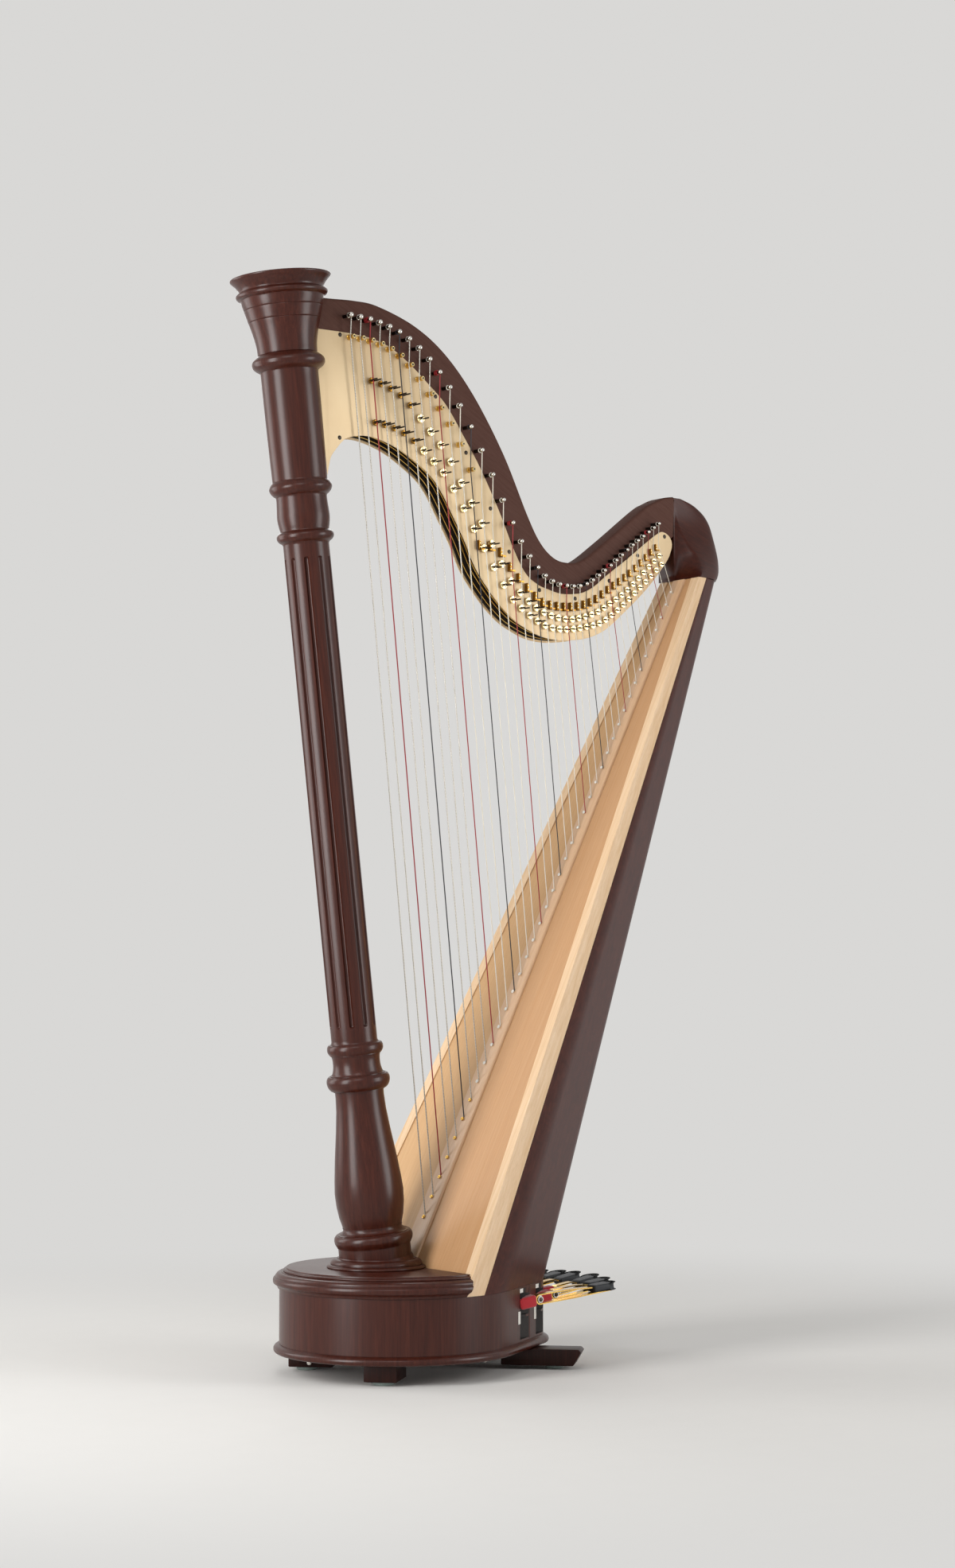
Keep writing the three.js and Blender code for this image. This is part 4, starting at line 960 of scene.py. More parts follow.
@dataclass
class Base:
    """Mouldings, slotted box, feet and pads."""

    lines: HarpLines
    wall: float = 12.0
    foot_low: float = 6.3
    foot_high: float = 32.7
    block_half: float = 36.0
    block_depth: float = 26.0
    block_stand: Corner = (-50.0, 102.5, 137.0)
    board_ends: tuple[float, float] = (117.0, 130.0)
    board_depth: float = 25.0
    board_stand: Corner = (212.0, 56.0, 44.5)
    front_pad: tuple[float, float] = (17.0, 10.0)
    rear_pad: tuple[float, float] = (14.0, 84.0)
    slot_width: float = 15.0
    notch: float = 9.0
    notch_height: float = 34.0
    tongue: float = 3.5
    slot_low: float = 51.0
    slot_high: float = 131.3
    slot_cut: tuple[float, float] = (105.0, 340.0)
    felt: float = 4.6
    felt_lap: float = 0.4
    felt_side: tuple[float, float] = (76.0, 96.0)
    felt_top: float = 6.5
    felt_depths: tuple[float, float] = (-9.0, 0.7)
    board_gap: float = 2.6
    cut_levels: tuple[float, float] = (120.0, 190.0)
    cut_reach: float = 400.0
    glides: tuple[Corner, ...] = ((-143.5, -30.6, 28.2), (93.3, -169.3, 28.2))
    slots: tuple[float, ...] = (-115.06, -71.44, -28.01, 22.0, 53.96, 87.04, 119.94)
    bottom_run: Line = (
        (33.0, 0.9), (33.3, 4.95), (35.2, 7.92), (38.5, 9.0), (42.0, 8.28), (44.6, 5.58), (46.0, 2.7), (47.0, 1.08),
    )
    top_runs: tuple[Line, ...] = (
        ((134.7, 0.8), (134.9, 2.6)),
        ((137.4, 3.4), (139.6, 5.2), (141.2, 7.6), (142.4, 9.3), (144.2, 10.2), (147.4, 10.4), (150.0, 9.9),
         (151.6, 8.6), (152.1, 7.8)),
        ((152.3, 6.9), (153.9, 6.9)),
        ((154.3, 5.6), (156.6, 4.9), (158.6, 2.9), (159.8, 0.2), (160.2, -2.3)),
        ((160.4, -3.0), (161.2, -3.0)),
        ((161.4, -6.6), (162.4, -5.9), (163.6, -6.2), (164.6, -7.6), (165.2, -9.4)),
        ((165.4, -10.8), (167.2, -11.0), (167.6, -11.6)),
    )

    def build(self) -> None:
        """Makes every piece of the base."""
        place = self.lines.base()
        for name, levels, node, cutters in (
            ("bottom_moulding", spline(self.bottom_run, 40), "base_bottom", None),
            ("top_moulding", profile_of(self.top_runs), "base_top", self._behind_board()),
        ):
            SHOP.piece(name, self._moulding(levels), place, MAHOGANY_BASE, "frame", "mahogany", [node],
                       cutters=cutters)
        self._box(place)
        self._feet(place)
        self._glides(place)

    def _moulding(self, levels: np.ndarray) -> Shape:
        """Board whose edge follows a profile: the plan grown by the profile's overhang at each height."""
        return loft(np.stack([at_height(self.lines.base_plan(grow), z) for z, grow in levels]))

    def _behind_board(self) -> Shape:
        """Everything behind the soundboard's face, over the thickness of the base top."""
        rows, wide = [], self.cut_reach
        for z in self.cut_levels:
            x = self.lines.board_x(z) - self.board_gap
            rows.append([[x, -wide, z], [x + 2 * wide, -wide, z], [x + 2 * wide, wide, z], [x, wide, z]])
        return loft(np.array(rows, float))

    def _box(self, place: Placement) -> None:
        """Box wall with its stepped slots."""
        low, high = self.lines.box_low, self.lines.box_top
        inner, outer = self.lines.base_plan(-self.wall), self.lines.base_plan(0)
        rings = [at_height(ring, z) for ring, z in ((inner, low), (outer, low), (outer, high), (inner, high))]
        slots = together(*[self._slot(y) for y in self.slots])
        # The faces cut by the slots take painted shade, black, so that the slots read as dark openings into the base.
        SHOP.piece("base_wall", loft(np.stack(rings), closed_rows=True), place, MAHOGANY_BASE, "frame", "mahogany",
                   ["base_box"], cutters=slots, inside=PAINTED_SHADE_BLACK)
        felts = together(*[felt for y in self.slots for felt in self._felts(y)])
        SHOP.piece("slot_felts", felts, place, WHITE_FELT, "frame", "mahogany")

    def face_x(self, y: float) -> float:
        """Where the outside of the base wall is at a distance from the middle: flank line, or rear circle."""
        lines = self.lines
        taper = math.asin((lines.front_radius - lines.rear_radius) / (lines.rear_x - lines.front_x))
        if abs(y) < lines.rear_radius * math.cos(taper):
            return lines.rear_x + math.sqrt(lines.rear_radius**2 - y**2)
        tangent = lines.rear_x + lines.rear_radius * math.sin(taper)
        return tangent - (abs(y) - lines.rear_radius * math.cos(taper)) / math.tan(taper)

    def _slot(self, y: float) -> Shape:
        """Cutter of one slot: straight way down with two deep notches towards the middle, where a pedal locks."""
        inward = 1.0 if y < 0 else -1.0
        half, ledge = self.slot_width / 2, self.slot_width / 2 + self.notch
        first = self.slot_low + self.notch_height
        second = first + self.tongue
        third = second + self.notch_height
        across = np.array([-half, ledge, ledge, half, half, ledge, ledge, half, half, -half])
        up = np.array([self.slot_low, self.slot_low, first, first, second, second, third, third, self.slot_high,
                       self.slot_high])
        return loft(np.stack([at_reach(y + inward * across, up, x) for x in self.slot_cut]))

    def _felts(self, y: float) -> list[Shape]:
        """Felt strip down the outer side of a slot and a pad under its top, both just proud of the wall."""
        outer = 1.0 if y > 0 else -1.0
        side, top = y + outer * self.slot_width / 2, self.slot_high
        made = []
        for low, high, start, end in (
            (*self.felt_side, side - outer * self.felt_lap, side + outer * self.felt),
            (top - self.felt_top, top, side, y),
        ):
            across = np.array([start, end, end, start])
            up = np.array([low, low, high, high])
            face = np.array([self.face_x(v) for v in across])
            made.append(loft(np.stack([np.column_stack([face + out, across, up]) for out in self.felt_depths])))
        return made

    def _feet(self, place: Placement) -> None:
        """Blocks at the front, tapered boards at the rear, and a pad under each."""
        low, high, half = self.foot_low, self.foot_high, self.block_half
        under, tip = self.board_ends
        drop = (high - low) / 6
        block = self._soft_board([[-half, low], [half, low], [half, high], [-half, high]], self.block_depth)
        tapered = self._soft_board(
            [[0, low], [under, low], [tip, high - drop], [tip - drop, high], [0, high]], self.board_depth
        )
        for name, side in (("near", -1.0), ("far", 1.0)):
            front, rear = self._stand(self.block_stand, side), self._stand(self.board_stand, side)
            for piece, shape, stand, node in (
                ("front_block", block, front, "front_foot"), ("rear_board", tapered, rear, "rear_foot"),
            ):
                SHOP.piece(f"{piece}_{name}", shape.moved(*stand), place, MAHOGANY_FEET, "frame", "mahogany",
                           [f"{node}_{name}"])
            for node, stand, (radius, out) in (
                ("front_pad", front, self.front_pad), ("rear_pad", rear, self.rear_pad),
            ):
                pad = self._pad(radius).moved((out, 0, 0)).moved(*stand)
                SHOP.piece(f"{node}_round_{name}", pad, place, PAD_RUBBER, "frame", "rubber", [f"{node}_{name}"])

    @staticmethod
    def _stand(stand: Corner, side: float) -> tuple[Corner, np.ndarray]:
        """Where a foot stands on one side, and how it is turned there."""
        x, y, angle = stand
        return (x, side * y, 0.0), turn_about("z", side * math.radians(angle))

    @staticmethod
    def _pad(radius: float) -> Shape:
        """Round pad, six millimetres high, with softened rims."""
        rim = [(0, radius - 2.5), (0.4, radius - 1), (1.6, radius), (4.6, radius), (6, radius - 0.6)]
        return revolve(spline(rim, 24), 48)

    def _glides(self, place: Placement) -> None:
        """Bright domed heads of the screws that hold the bottom board, just under its edge."""
        dome = revolve(np.array([(0.0, 0.4), (0.6, 2.2), (2.0, 3.4), (3.6, 3.7), (5.0, 3.6)]), 20)
        SHOP.piece("bottom_screws", stamp(dome, self.glides), place, NICKEL, "frame", "steel", smooth=50)

    @staticmethod
    def _soft_board(outline: Sequence[Sequence[float]], half: float) -> Shape:
        """Board with softened edges and corners."""
        return board(rounded(np.array(outline, float), 2.0), -half, half, 1.6)


# Sound box


@dataclass
class SoundBox:
    """Shell with its holes, soundboard and light edging."""

    lines: HarpLines
    wall: float = 6.0
    board_depth: float = 6.0
    gap: float = 0.3
    rail_foot: float = 30.0
    rail_top: float = 12.0
    edging_wall: float = 9.0
    edging_proud: float = 2.3
    edging_strip: tuple[float, float] = (3.0, 20.0)
    hole_cut: float = 60.0
    holes: tuple[Corner, ...] = (
        (330, 68, 33), (575, 62, 30), (795, 55, 26), (985, 47, 22), (1145, 38, 18),
    )

    def build(self, frame: dict) -> None:
        """Makes the shell and edging and dresses the flat boards."""
        lines, place = self.lines, self.lines.base()
        levels = np.linspace(lines.box_top + self.gap, lines.body_top, 24)
        holes = together(*[self._hole(*hole) for hole in self.holes])
        shell = loft(np.stack([self._shell(z) for z in levels]))
        SHOP.piece("shell", shell, place, FIGURED_SHELL, "frame", "dark_mahogany", ["body_shell"], cutters=holes)
        for name, side in (("near", 1.0), ("far", -1.0)):
            edging = loft(np.stack([self._edging(z) * [1, side, 1] for z in levels]))
            SHOP.piece(f"light_edging_{name}", edging, place, MAPLE, "frame", "pale_wood", [f"edging_{name}"])
        for node, finish in (("soundboard", SPRUCE), ("soundboard_bar", MAPLE)):
            dress_node(frame, node, finish)

    def _shell(self, z: float) -> np.ndarray:
        """Section of the shell: round the outside from edge to edge and back inside."""
        behind = self._rail(z) + self.board_depth + self.gap
        outer, inner = (self.lines.body_plan(z, inset, behind) for inset in (0, self.wall))
        return at_height(np.vstack([outer, inner[::-1]]), z)

    def _rail(self, z: float) -> float:
        """Width of the side rail, which narrows evenly to the top."""
        share = (z - self.lines.box_top) / (self.lines.body_top - self.lines.box_top)
        return self.rail_foot + (self.rail_top - self.rail_foot) * share

    def _edging(self, z: float) -> np.ndarray:
        """Section of the near edging: face strip, turn round the board's edge, rail behind."""
        lines = self.lines
        front, half = lines.board_x(z), -lines.body_plan(z, 0, 0)[0][1]
        behind, end = self.board_depth + self.gap, self.board_depth + self._rail(z)
        depths = behind + (end - behind) * np.linspace(0, 1, 6)
        outer = [lines.body_plan(z, 0, depth)[0] for depth in (-self.edging_proud, *depths)]
        inner = [lines.body_plan(z, self.edging_wall, depth)[0] for depth in depths[::-1]]
        lap, strip = (edge - half for edge in self.edging_strip)
        face, proud = front - self.gap, front - self.edging_proud
        pocket = [[front + behind, lap], [face, lap], [face, strip], [proud, strip]]
        return at_height(np.array([*outer, *inner, *pocket]), z)

    def _hole(self, z: float, half_height: float, half_width: float) -> Shape:
        """Cutter of one oval hole, along X through the back."""
        angle = circle(48)
        rear = self.lines.body_plan(z, 0, 0)[:, 0].max()
        across, up = half_width * np.cos(angle), z + half_height * np.sin(angle)
        return loft(np.stack([at_reach(across, up, x) for x in (rear - self.hole_cut, rear + self.hole_cut)]))


def dress_node(frame: dict, node: str, finish: Finish) -> None:
    """Gives a solid of the part a finish and leaves its form as it is.

    Args:
        frame: what the loaded part holds.
        node: name of the solid.
        finish: its material.
    """
    obj = frame["nodes"][node]
    obj.data.materials.clear()
    obj.data.materials.append(finish.material())
    LOG.info("%s: dressed", node)


# Column


@dataclass
class Column:
    """Turned, fluted column and its capital."""

    lines: HarpLines
    radius: float = 36.8
    foot: float = 368.0
    shaft: float = 785.0
    head: float = 307.0
    capital: float = 124.0
    flutes: int = 10
    flute_half_width: float = 3.9
    flute_depth: float = 3.9
    flute_margin: float = 18.0
    flute_far: float = 60.0
    flute_steps: tuple[float, ...] = (0.0, 0.6, 1.4, 2.4, 3.4, 4.4, 6.0)
    flute_turns: tuple[float, ...] = (
        -18, -13, -9, -7, -6.2, -5, -3.6, -1.8, 0, 1.8, 3.6, 5, 6.2, 7, 9, 13,
    )
    board_gap: float = 0.5
    deck_gap: float = 0.2
    ring_gap: float = 0.1
    ring_bore: float = 1.4
    capital_gap: float = 0.3
    ring_runs: tuple[Line, ...] = (
        ((0.0, 2.1), (0.001, 2.14), (0.006, 2.15), (0.011, 2.12), (0.0145, 2.05)),
        ((0.0155, 1.97), (0.0175, 1.97)),
        ((0.0178, 1.99), (0.024, 1.985), (0.03, 1.95), (0.0365, 1.87), (0.0395, 1.79)),
        ((0.0402, 1.72), (0.044, 1.7)),
    )
    foot_runs: tuple[Line, ...] = (
        ((-0.03, 1.66), (0.03, 1.66)),
        ((0.034, 1.66), (0.043, 1.625), (0.05, 1.588)),
        ((0.0502, 1.57), (0.1, 1.57)),
        ((0.1004, 1.6), (0.106, 1.62), (0.114, 1.67), (0.124, 1.7), (0.136, 1.705), (0.147, 1.67), (0.154, 1.6)),
        ((0.1544, 1.54), (0.157, 1.54)),
        ((0.1574, 1.47), (0.163, 1.36), (0.172, 1.29), (0.181, 1.27)),
        ((0.1814, 1.3), (0.185, 1.3)),
        ((0.1852, 1.285), (0.2, 1.32), (0.22, 1.38), (0.265, 1.455), (0.315, 1.495), (0.365, 1.475), (0.42, 1.41),
         (0.52, 1.3), (0.63, 1.14), (0.7, 1.075), (0.75, 1.054), (0.772, 1.06)),
        ((0.7724, 1.12), (0.7765, 1.12)),
        ((0.777, 1.2), (0.784, 1.27), (0.795, 1.335), (0.808, 1.37), (0.82, 1.375), (0.832, 1.34), (0.84, 1.27)),
        ((0.8404, 1.19), (0.844, 1.19)),
        ((0.8444, 1.14), (0.855, 1.08), (0.88, 1.03), (0.91, 1.03), (0.928, 1.07)),
        ((0.9284, 1.11), (0.932, 1.11)),
        ((0.9324, 1.14), (0.944, 1.205), (0.956, 1.22), (0.968, 1.2), (0.976, 1.14)),
        ((0.9764, 1.06), (0.982, 1.02), (0.99, 1.0), (1.0, 1.0)),
    )
    head_shares: Line = (
        (0.0, 1.0), (0.012, 1.0), (0.022, 1.04), (0.03, 1.14), (0.042, 1.22), (0.055, 1.245), (0.067, 1.22),
        (0.076, 1.14), (0.085, 1.06), (0.11, 1.1), (0.15, 1.145), (0.19, 1.13), (0.23, 1.11), (0.262, 1.11),
        (0.272, 1.2), (0.285, 1.3), (0.3, 1.36), (0.308, 1.37), (0.317, 1.35), (0.332, 1.28), (0.342, 1.21),
        (0.36, 1.2), (0.45, 1.215), (0.62, 1.235), (0.8, 1.25), (0.9, 1.255), (0.915, 1.3), (0.925, 1.42),
        (0.938, 1.54), (0.955, 1.59), (0.972, 1.56), (0.985, 1.46), (1.0, 1.3),
    )
    capital_shares: Line = (
        (0.0, 1.27), (0.02, 1.295), (0.1, 1.31), (0.2, 1.36), (0.33, 1.46), (0.42, 1.545), (0.432, 1.535),
        (0.444, 1.57), (0.5, 1.62), (0.58, 1.69), (0.592, 1.68), (0.604, 1.712), (0.66, 1.765), (0.715, 1.8),
        (0.728, 1.83), (0.738, 1.91), (0.752, 1.975), (0.775, 2.0), (0.797, 1.975), (0.812, 1.9), (0.824, 1.835),
        (0.845, 1.84), (0.875, 1.9), (0.92, 2.02), (0.955, 2.14), (0.972, 2.185), (0.987, 2.195), (0.997, 2.17),
        (1.0, 2.1),
    )

    def build(self) -> None:
        """Makes the column and the capital."""
        place = self.lines.column()
        self._column(place)
        self._foot_ring()
        self._capital(place)

    def _turned(self, line: np.ndarray, low: float, height: float) -> np.ndarray:
        """Profile in millimetres from shares of a section's height and of the shaft's radius."""
        return np.column_stack([low + height * line[:, 0], self.radius * line[:, 1]])

    def _column(self, place: Placement) -> None:
        """Fluted column, cut off along the soundboard and level with the deck."""
        shape = self._fluted()
        world = place.to_frame(shape.points) / MM
        face = self.lines.board_x(world[:, 2]) + self.lines.shift_x - self.board_gap
        world[:, 0] = np.minimum(world[:, 0], face)
        sunk = np.maximum(self.lines.deck + self.deck_gap - world[:, 2:3], 0)
        world += sunk * np.array([[-math.tan(self.lines.lean), 0, 1]])
        shape = Shape(place.to_local(world), shape.faces)
        SHOP.piece("fluted_column", shape, place, MAHOGANY_COLUMN, "frame", "mahogany", ["column"], smooth=40)

    def _fluted(self) -> Shape:
        """Radius is the profile's, less a round-bottomed flute that fades at both ends of the shaft."""
        low = self._turned(profile_of(self.foot_runs), 0, self.foot)
        high = self._turned(spline(self.head_shares, 110), self.foot + self.shaft, self.head)
        start, end = self.foot + self.flute_margin, self.foot + self.shaft - self.flute_margin
        near, far = np.array(self.flute_steps), self.flute_far
        inside = np.concatenate([start + near, np.linspace(start + far, end - far, 12), end - near[::-1]])
        middle = np.column_stack([inside, np.full(len(inside), self.radius)])
        profile = np.vstack([low, middle, high[1:]])
        step, across = 360 / self.flutes, np.array(self.flute_turns)
        angle = np.radians((np.arange(self.flutes)[:, None] * step + step / 2 + across).ravel())
        offset = np.radians(np.tile(across, self.flutes)) * self.radius
        height, radius = profile[:, 0:1], profile[:, 1:2]
        from_end = np.minimum(height - start, end - height)
        short = np.clip(1 - from_end / self.flute_half_width, 0, 1)
        hollow = np.clip(1 - (offset / self.flute_half_width) ** 2 - short**2, 0, None) * (from_end >= 0)
        radius = radius - self.flute_depth * np.sqrt(hollow)
        height = np.broadcast_to(height, radius.shape)
        return loft(np.stack([radius * np.cos(angle), radius * np.sin(angle), height], -1))

    def _foot_ring(self) -> None:
        """Level ring that stands on the deck round the leaning column, cut off along the soundboard."""
        lines = self.lines
        profile = self._turned(profile_of(self.ring_runs), lines.deck + self.ring_gap, self.foot)
        inner = [[profile[-1, 0], self.radius * self.ring_bore]]
        ring = revolve(np.vstack([profile, inner]), 96).moved((lines.column_x, 0, 0))
        points = ring.points.copy()
        points[:, 0] = np.minimum(points[:, 0], lines.board_x(points[:, 2]) - self.board_gap)
        SHOP.piece("column_foot_ring", Shape(points, ring.faces), lines.base(), MAHOGANY_COLUMN, "frame",
                   "mahogany", ["column"], smooth=40)

    def _capital(self, place: Placement) -> None:
        """Turned capital with two pairs of fine grooves and a flat top."""
        low = self.foot + self.shaft + self.head + self.capital_gap
        profile = self._turned(spline(self.capital_shares, 140), low, self.capital - self.capital_gap)
        height, rim = profile[-1]
        flat = [[height, rim - 6], [height, rim - 20], [height, 8.0]]
        capital = revolve(np.vstack([profile, flat]), 128)
        SHOP.piece("turned_capital", capital, place, MAHOGANY_COLUMN, "frame", "mahogany", ["capital"])


# Strings


@dataclass
class StringSet:
    """Where each string runs: eyelet on the soundboard, bridge on the neck and its tuning pin."""

    lines: HarpLines
    count: int = 40
    first: tuple[float, float] = (98.1, 241.3)
    last: tuple[float, float] = (623.6, 1297.5)
    bias: float = 0.165
    fan: float = 21.0
    fan_start: float = 0.45
    standoff: float = 32.5
    bass_radius: float = 1.05
    treble_radius: float = 0.5
    pin_side: float = 4.0
    neck_length: float = 900.0
    neck_rise: float = 530.0
    neck_low: float = 1190.0
    bridge_shares: Line = (
        (0.06, 0.879), (0.101, 0.879), (0.142, 0.877), (0.187, 0.86), (0.229, 0.821), (0.272, 0.747),
        (0.322, 0.657), (0.369, 0.53), (0.448, 0.268), (0.49, 0.196), (0.528, 0.147), (0.569, 0.125),
        (0.604, 0.123), (0.658, 0.14), (0.706, 0.19), (0.723, 0.206), (0.778, 0.293), (0.838, 0.362), (0.88, 0.42),
    )
    pin_shares: Line = (
        (0.0545, 0.941), (0.0945, 0.941), (0.1575, 0.934), (0.2205, 0.902), (0.2765, 0.838), (0.3365, 0.728),
        (0.4065, 0.547), (0.4755, 0.342), (0.5185, 0.249), (0.5545, 0.204), (0.5925, 0.189), (0.6445, 0.2),
        (0.7065, 0.27), (0.7625, 0.345), (0.8355, 0.432), (0.8845, 0.49),
    )
    numbers: np.ndarray = field(init=False)
    eyelets: np.ndarray = field(init=False)
    bridges: np.ndarray = field(init=False)
    pins: np.ndarray = field(init=False)
    radii: np.ndarray = field(init=False)

    def neck_line(self, shares: Sequence[tuple[float, float]], count: int) -> np.ndarray:
        """Line on the neck from shares of its length and rise."""
        line = spline(shares, count)
        return np.column_stack([line[:, 0] * self.neck_length, self.neck_low + line[:, 1] * self.neck_rise])

    def __post_init__(self) -> None:
        """Each string runs parallel to the column, less an even fan in the treble, up to the bridge line."""
        self.numbers = np.arange(1, self.count + 1)
        share = (self.numbers - 1) / (self.count - 1)
        along = share + self.bias * share * (1 - share)
        x = self.first[0] + (self.last[0] - self.first[0]) * along
        z = self.first[1] + (self.last[1] - self.first[1]) * along
        self.eyelets = self.lines.neck_local(np.column_stack([x, np.zeros(self.count), z]))
        bridge_line = self.neck_line(self.bridge_shares, 90)
        pin_line = self.neck_line(self.pin_shares, 90)
        fan = self.fan * np.maximum(0, (share - self.fan_start) / (1 - self.fan_start))
        at = self.eyelets[:, 0].copy()
        for _ in range(40):
            rise = np.interp(at, *bridge_line.T) - z
            at = (at + self.eyelets[:, 0] - rise * math.tan(self.lines.lean) - fan) / 2
        self.bridges = np.column_stack([at, np.full(self.count, -self.standoff), np.interp(at, *bridge_line.T)])
        pin_x = at - self.pin_side
        self.pins = np.column_stack([pin_x, np.interp(pin_x, *pin_line.T)])
        self.radii = self.bass_radius + (self.treble_radius - self.bass_radius) * share


@dataclass
class Strings:
    """The strings, each knotted behind the board, passing its bridge and wound on its pin."""

    lines: HarpLines
    layout: StringSet
    pin_radius: float = 3.2
    rib_foot: float = 22.0
    rib_top: float = 16.0
    rib_depth: float = 4.0
    rib_start: float = 2.0
    rib_round: float = 2.4
    rib_sink: float = 0.3
    knot: float = 2.0
    grip: float = 0.8
    coil_y: float = -34.6
    coil_pitch: float = 2.1
    eyelet_lift: float = 0.2
    grommet_sizes: tuple[float, float] = (0.95, 0.7)
    metal_eyelets: int = 7

    def build(self) -> None:
        """Makes the strings by kind, the rib and the grommets."""
        place = self.lines.neck()
        kinds: dict[str, list[Shape]] = {"wire": [], "gut": [], "red": [], "dark": []}
        for i, number in enumerate(self.layout.numbers):
            kinds[self._kind(int(number))].append(self._string(i))
        finishes = {"wire": WIRE, "gut": GUT, "red": RED_STRING, "dark": DARK_STRING}
        for kind, shapes in kinds.items():
            SHOP.piece(f"strings_{kind}", together(*shapes), place, finishes[kind], "frame", "gut",
                       ["strings_and_rib"], smooth=60)
        self._rib()
        self._eyelets(place)

    @staticmethod
    def _kind(number: int) -> str:
        """C strings are red and F strings dark; the lowest others are wound wire."""
        if number % 7 == 3:
            return "red"
        if number % 7 == 6:
            return "dark"
        return "wire" if number < 10 else "gut"

    def _string(self, i: int) -> Shape:
        """Straight from eyelet to bridge, then to the pin and round it; the red ends show four turns."""
        layout = self.layout
        radius, bridge, pin, eyelet = layout.radii[i], layout.bridges[i], layout.pins[i], layout.eyelets[i]
        around = self.pin_radius * self.grip + radius
        rounds = 4 if self._kind(int(layout.numbers[i])) == "red" else 1
        turns = np.linspace(0, rounds * 2 * math.pi, rounds * 12 + 1)
        depth = self.coil_y + turns / (2 * math.pi) * radius * self.coil_pitch
        coil = at_depth(pin + around * np.column_stack([np.cos(turns), np.sin(turns)]), depth)
        down = (eyelet - bridge) / np.linalg.norm(eyelet - bridge)
        line = np.vstack([eyelet + down * self.knot, bridge + down, bridge, coil[0]])
        return together(tube(line[:3], radius, 8), tube(line[2:], radius, 8), tube(coil, radius, 6))

    def _rib(self) -> None:
        """Rib down the board: a low flat-topped strip with rounded shoulders, narrower at the top."""
        lines = self.lines
        levels = np.linspace(lines.deck + self.rib_start, lines.body_top, 12)
        half = np.interp(levels, [levels[0], levels[-1]], [self.rib_foot, self.rib_top])
        turn = np.linspace(0, math.pi / 2, 5)
        out, narrower = self.rib_depth * np.sin(turn), self.rib_round * (1 - np.cos(turn))
        rows = []
        for z, wide in zip(levels, half):
            arc = np.column_stack([lines.board_x(z) - self.rib_sink - out, wide - narrower])
            rows.append(at_height(np.vstack([arc, arc[::-1] * [1, -1]]), z))
        SHOP.piece("string_rib", loft(np.stack(rows)), lines.base(), RIB_WOOD, "frame", "gut", ["strings_and_rib"])

    def _eyelets(self, place: Placement) -> None:
        """Rings where the strings come through the rib: metal in the bass, nylon above, square to the board."""
        ring = revolve(np.array([(-0.6, 3.1), (0.6, 3.2), (1.3, 2.8), (1.6, 2.1), (1.3, 1.4), (0.4, 1.1)]), 18)
        slope, split = self.lines.board_slope, self.metal_eyelets
        square = ring.moved((0, 0, 0), turn_about("y", math.atan(slope) - math.pi / 2))
        out = np.array([-1.0, 0.0, slope])
        places = self.layout.eyelets + out / np.linalg.norm(out) * (self.rib_depth + self.eyelet_lift)
        scales = np.linspace(*self.grommet_sizes, len(places) - split)
        for name, rings, finish in (
            ("eyelets", stamp(square, places[:split]), GOLD),
            ("grommets", stamp(square, places[split:], scales=scales), GROMMET),
        ):
            SHOP.piece(name, rings, place, finish, "frame", "gut", smooth=50)


# Neck


# Share of the neck's length at which it meets the shoulder.
NECK_END = 0.889


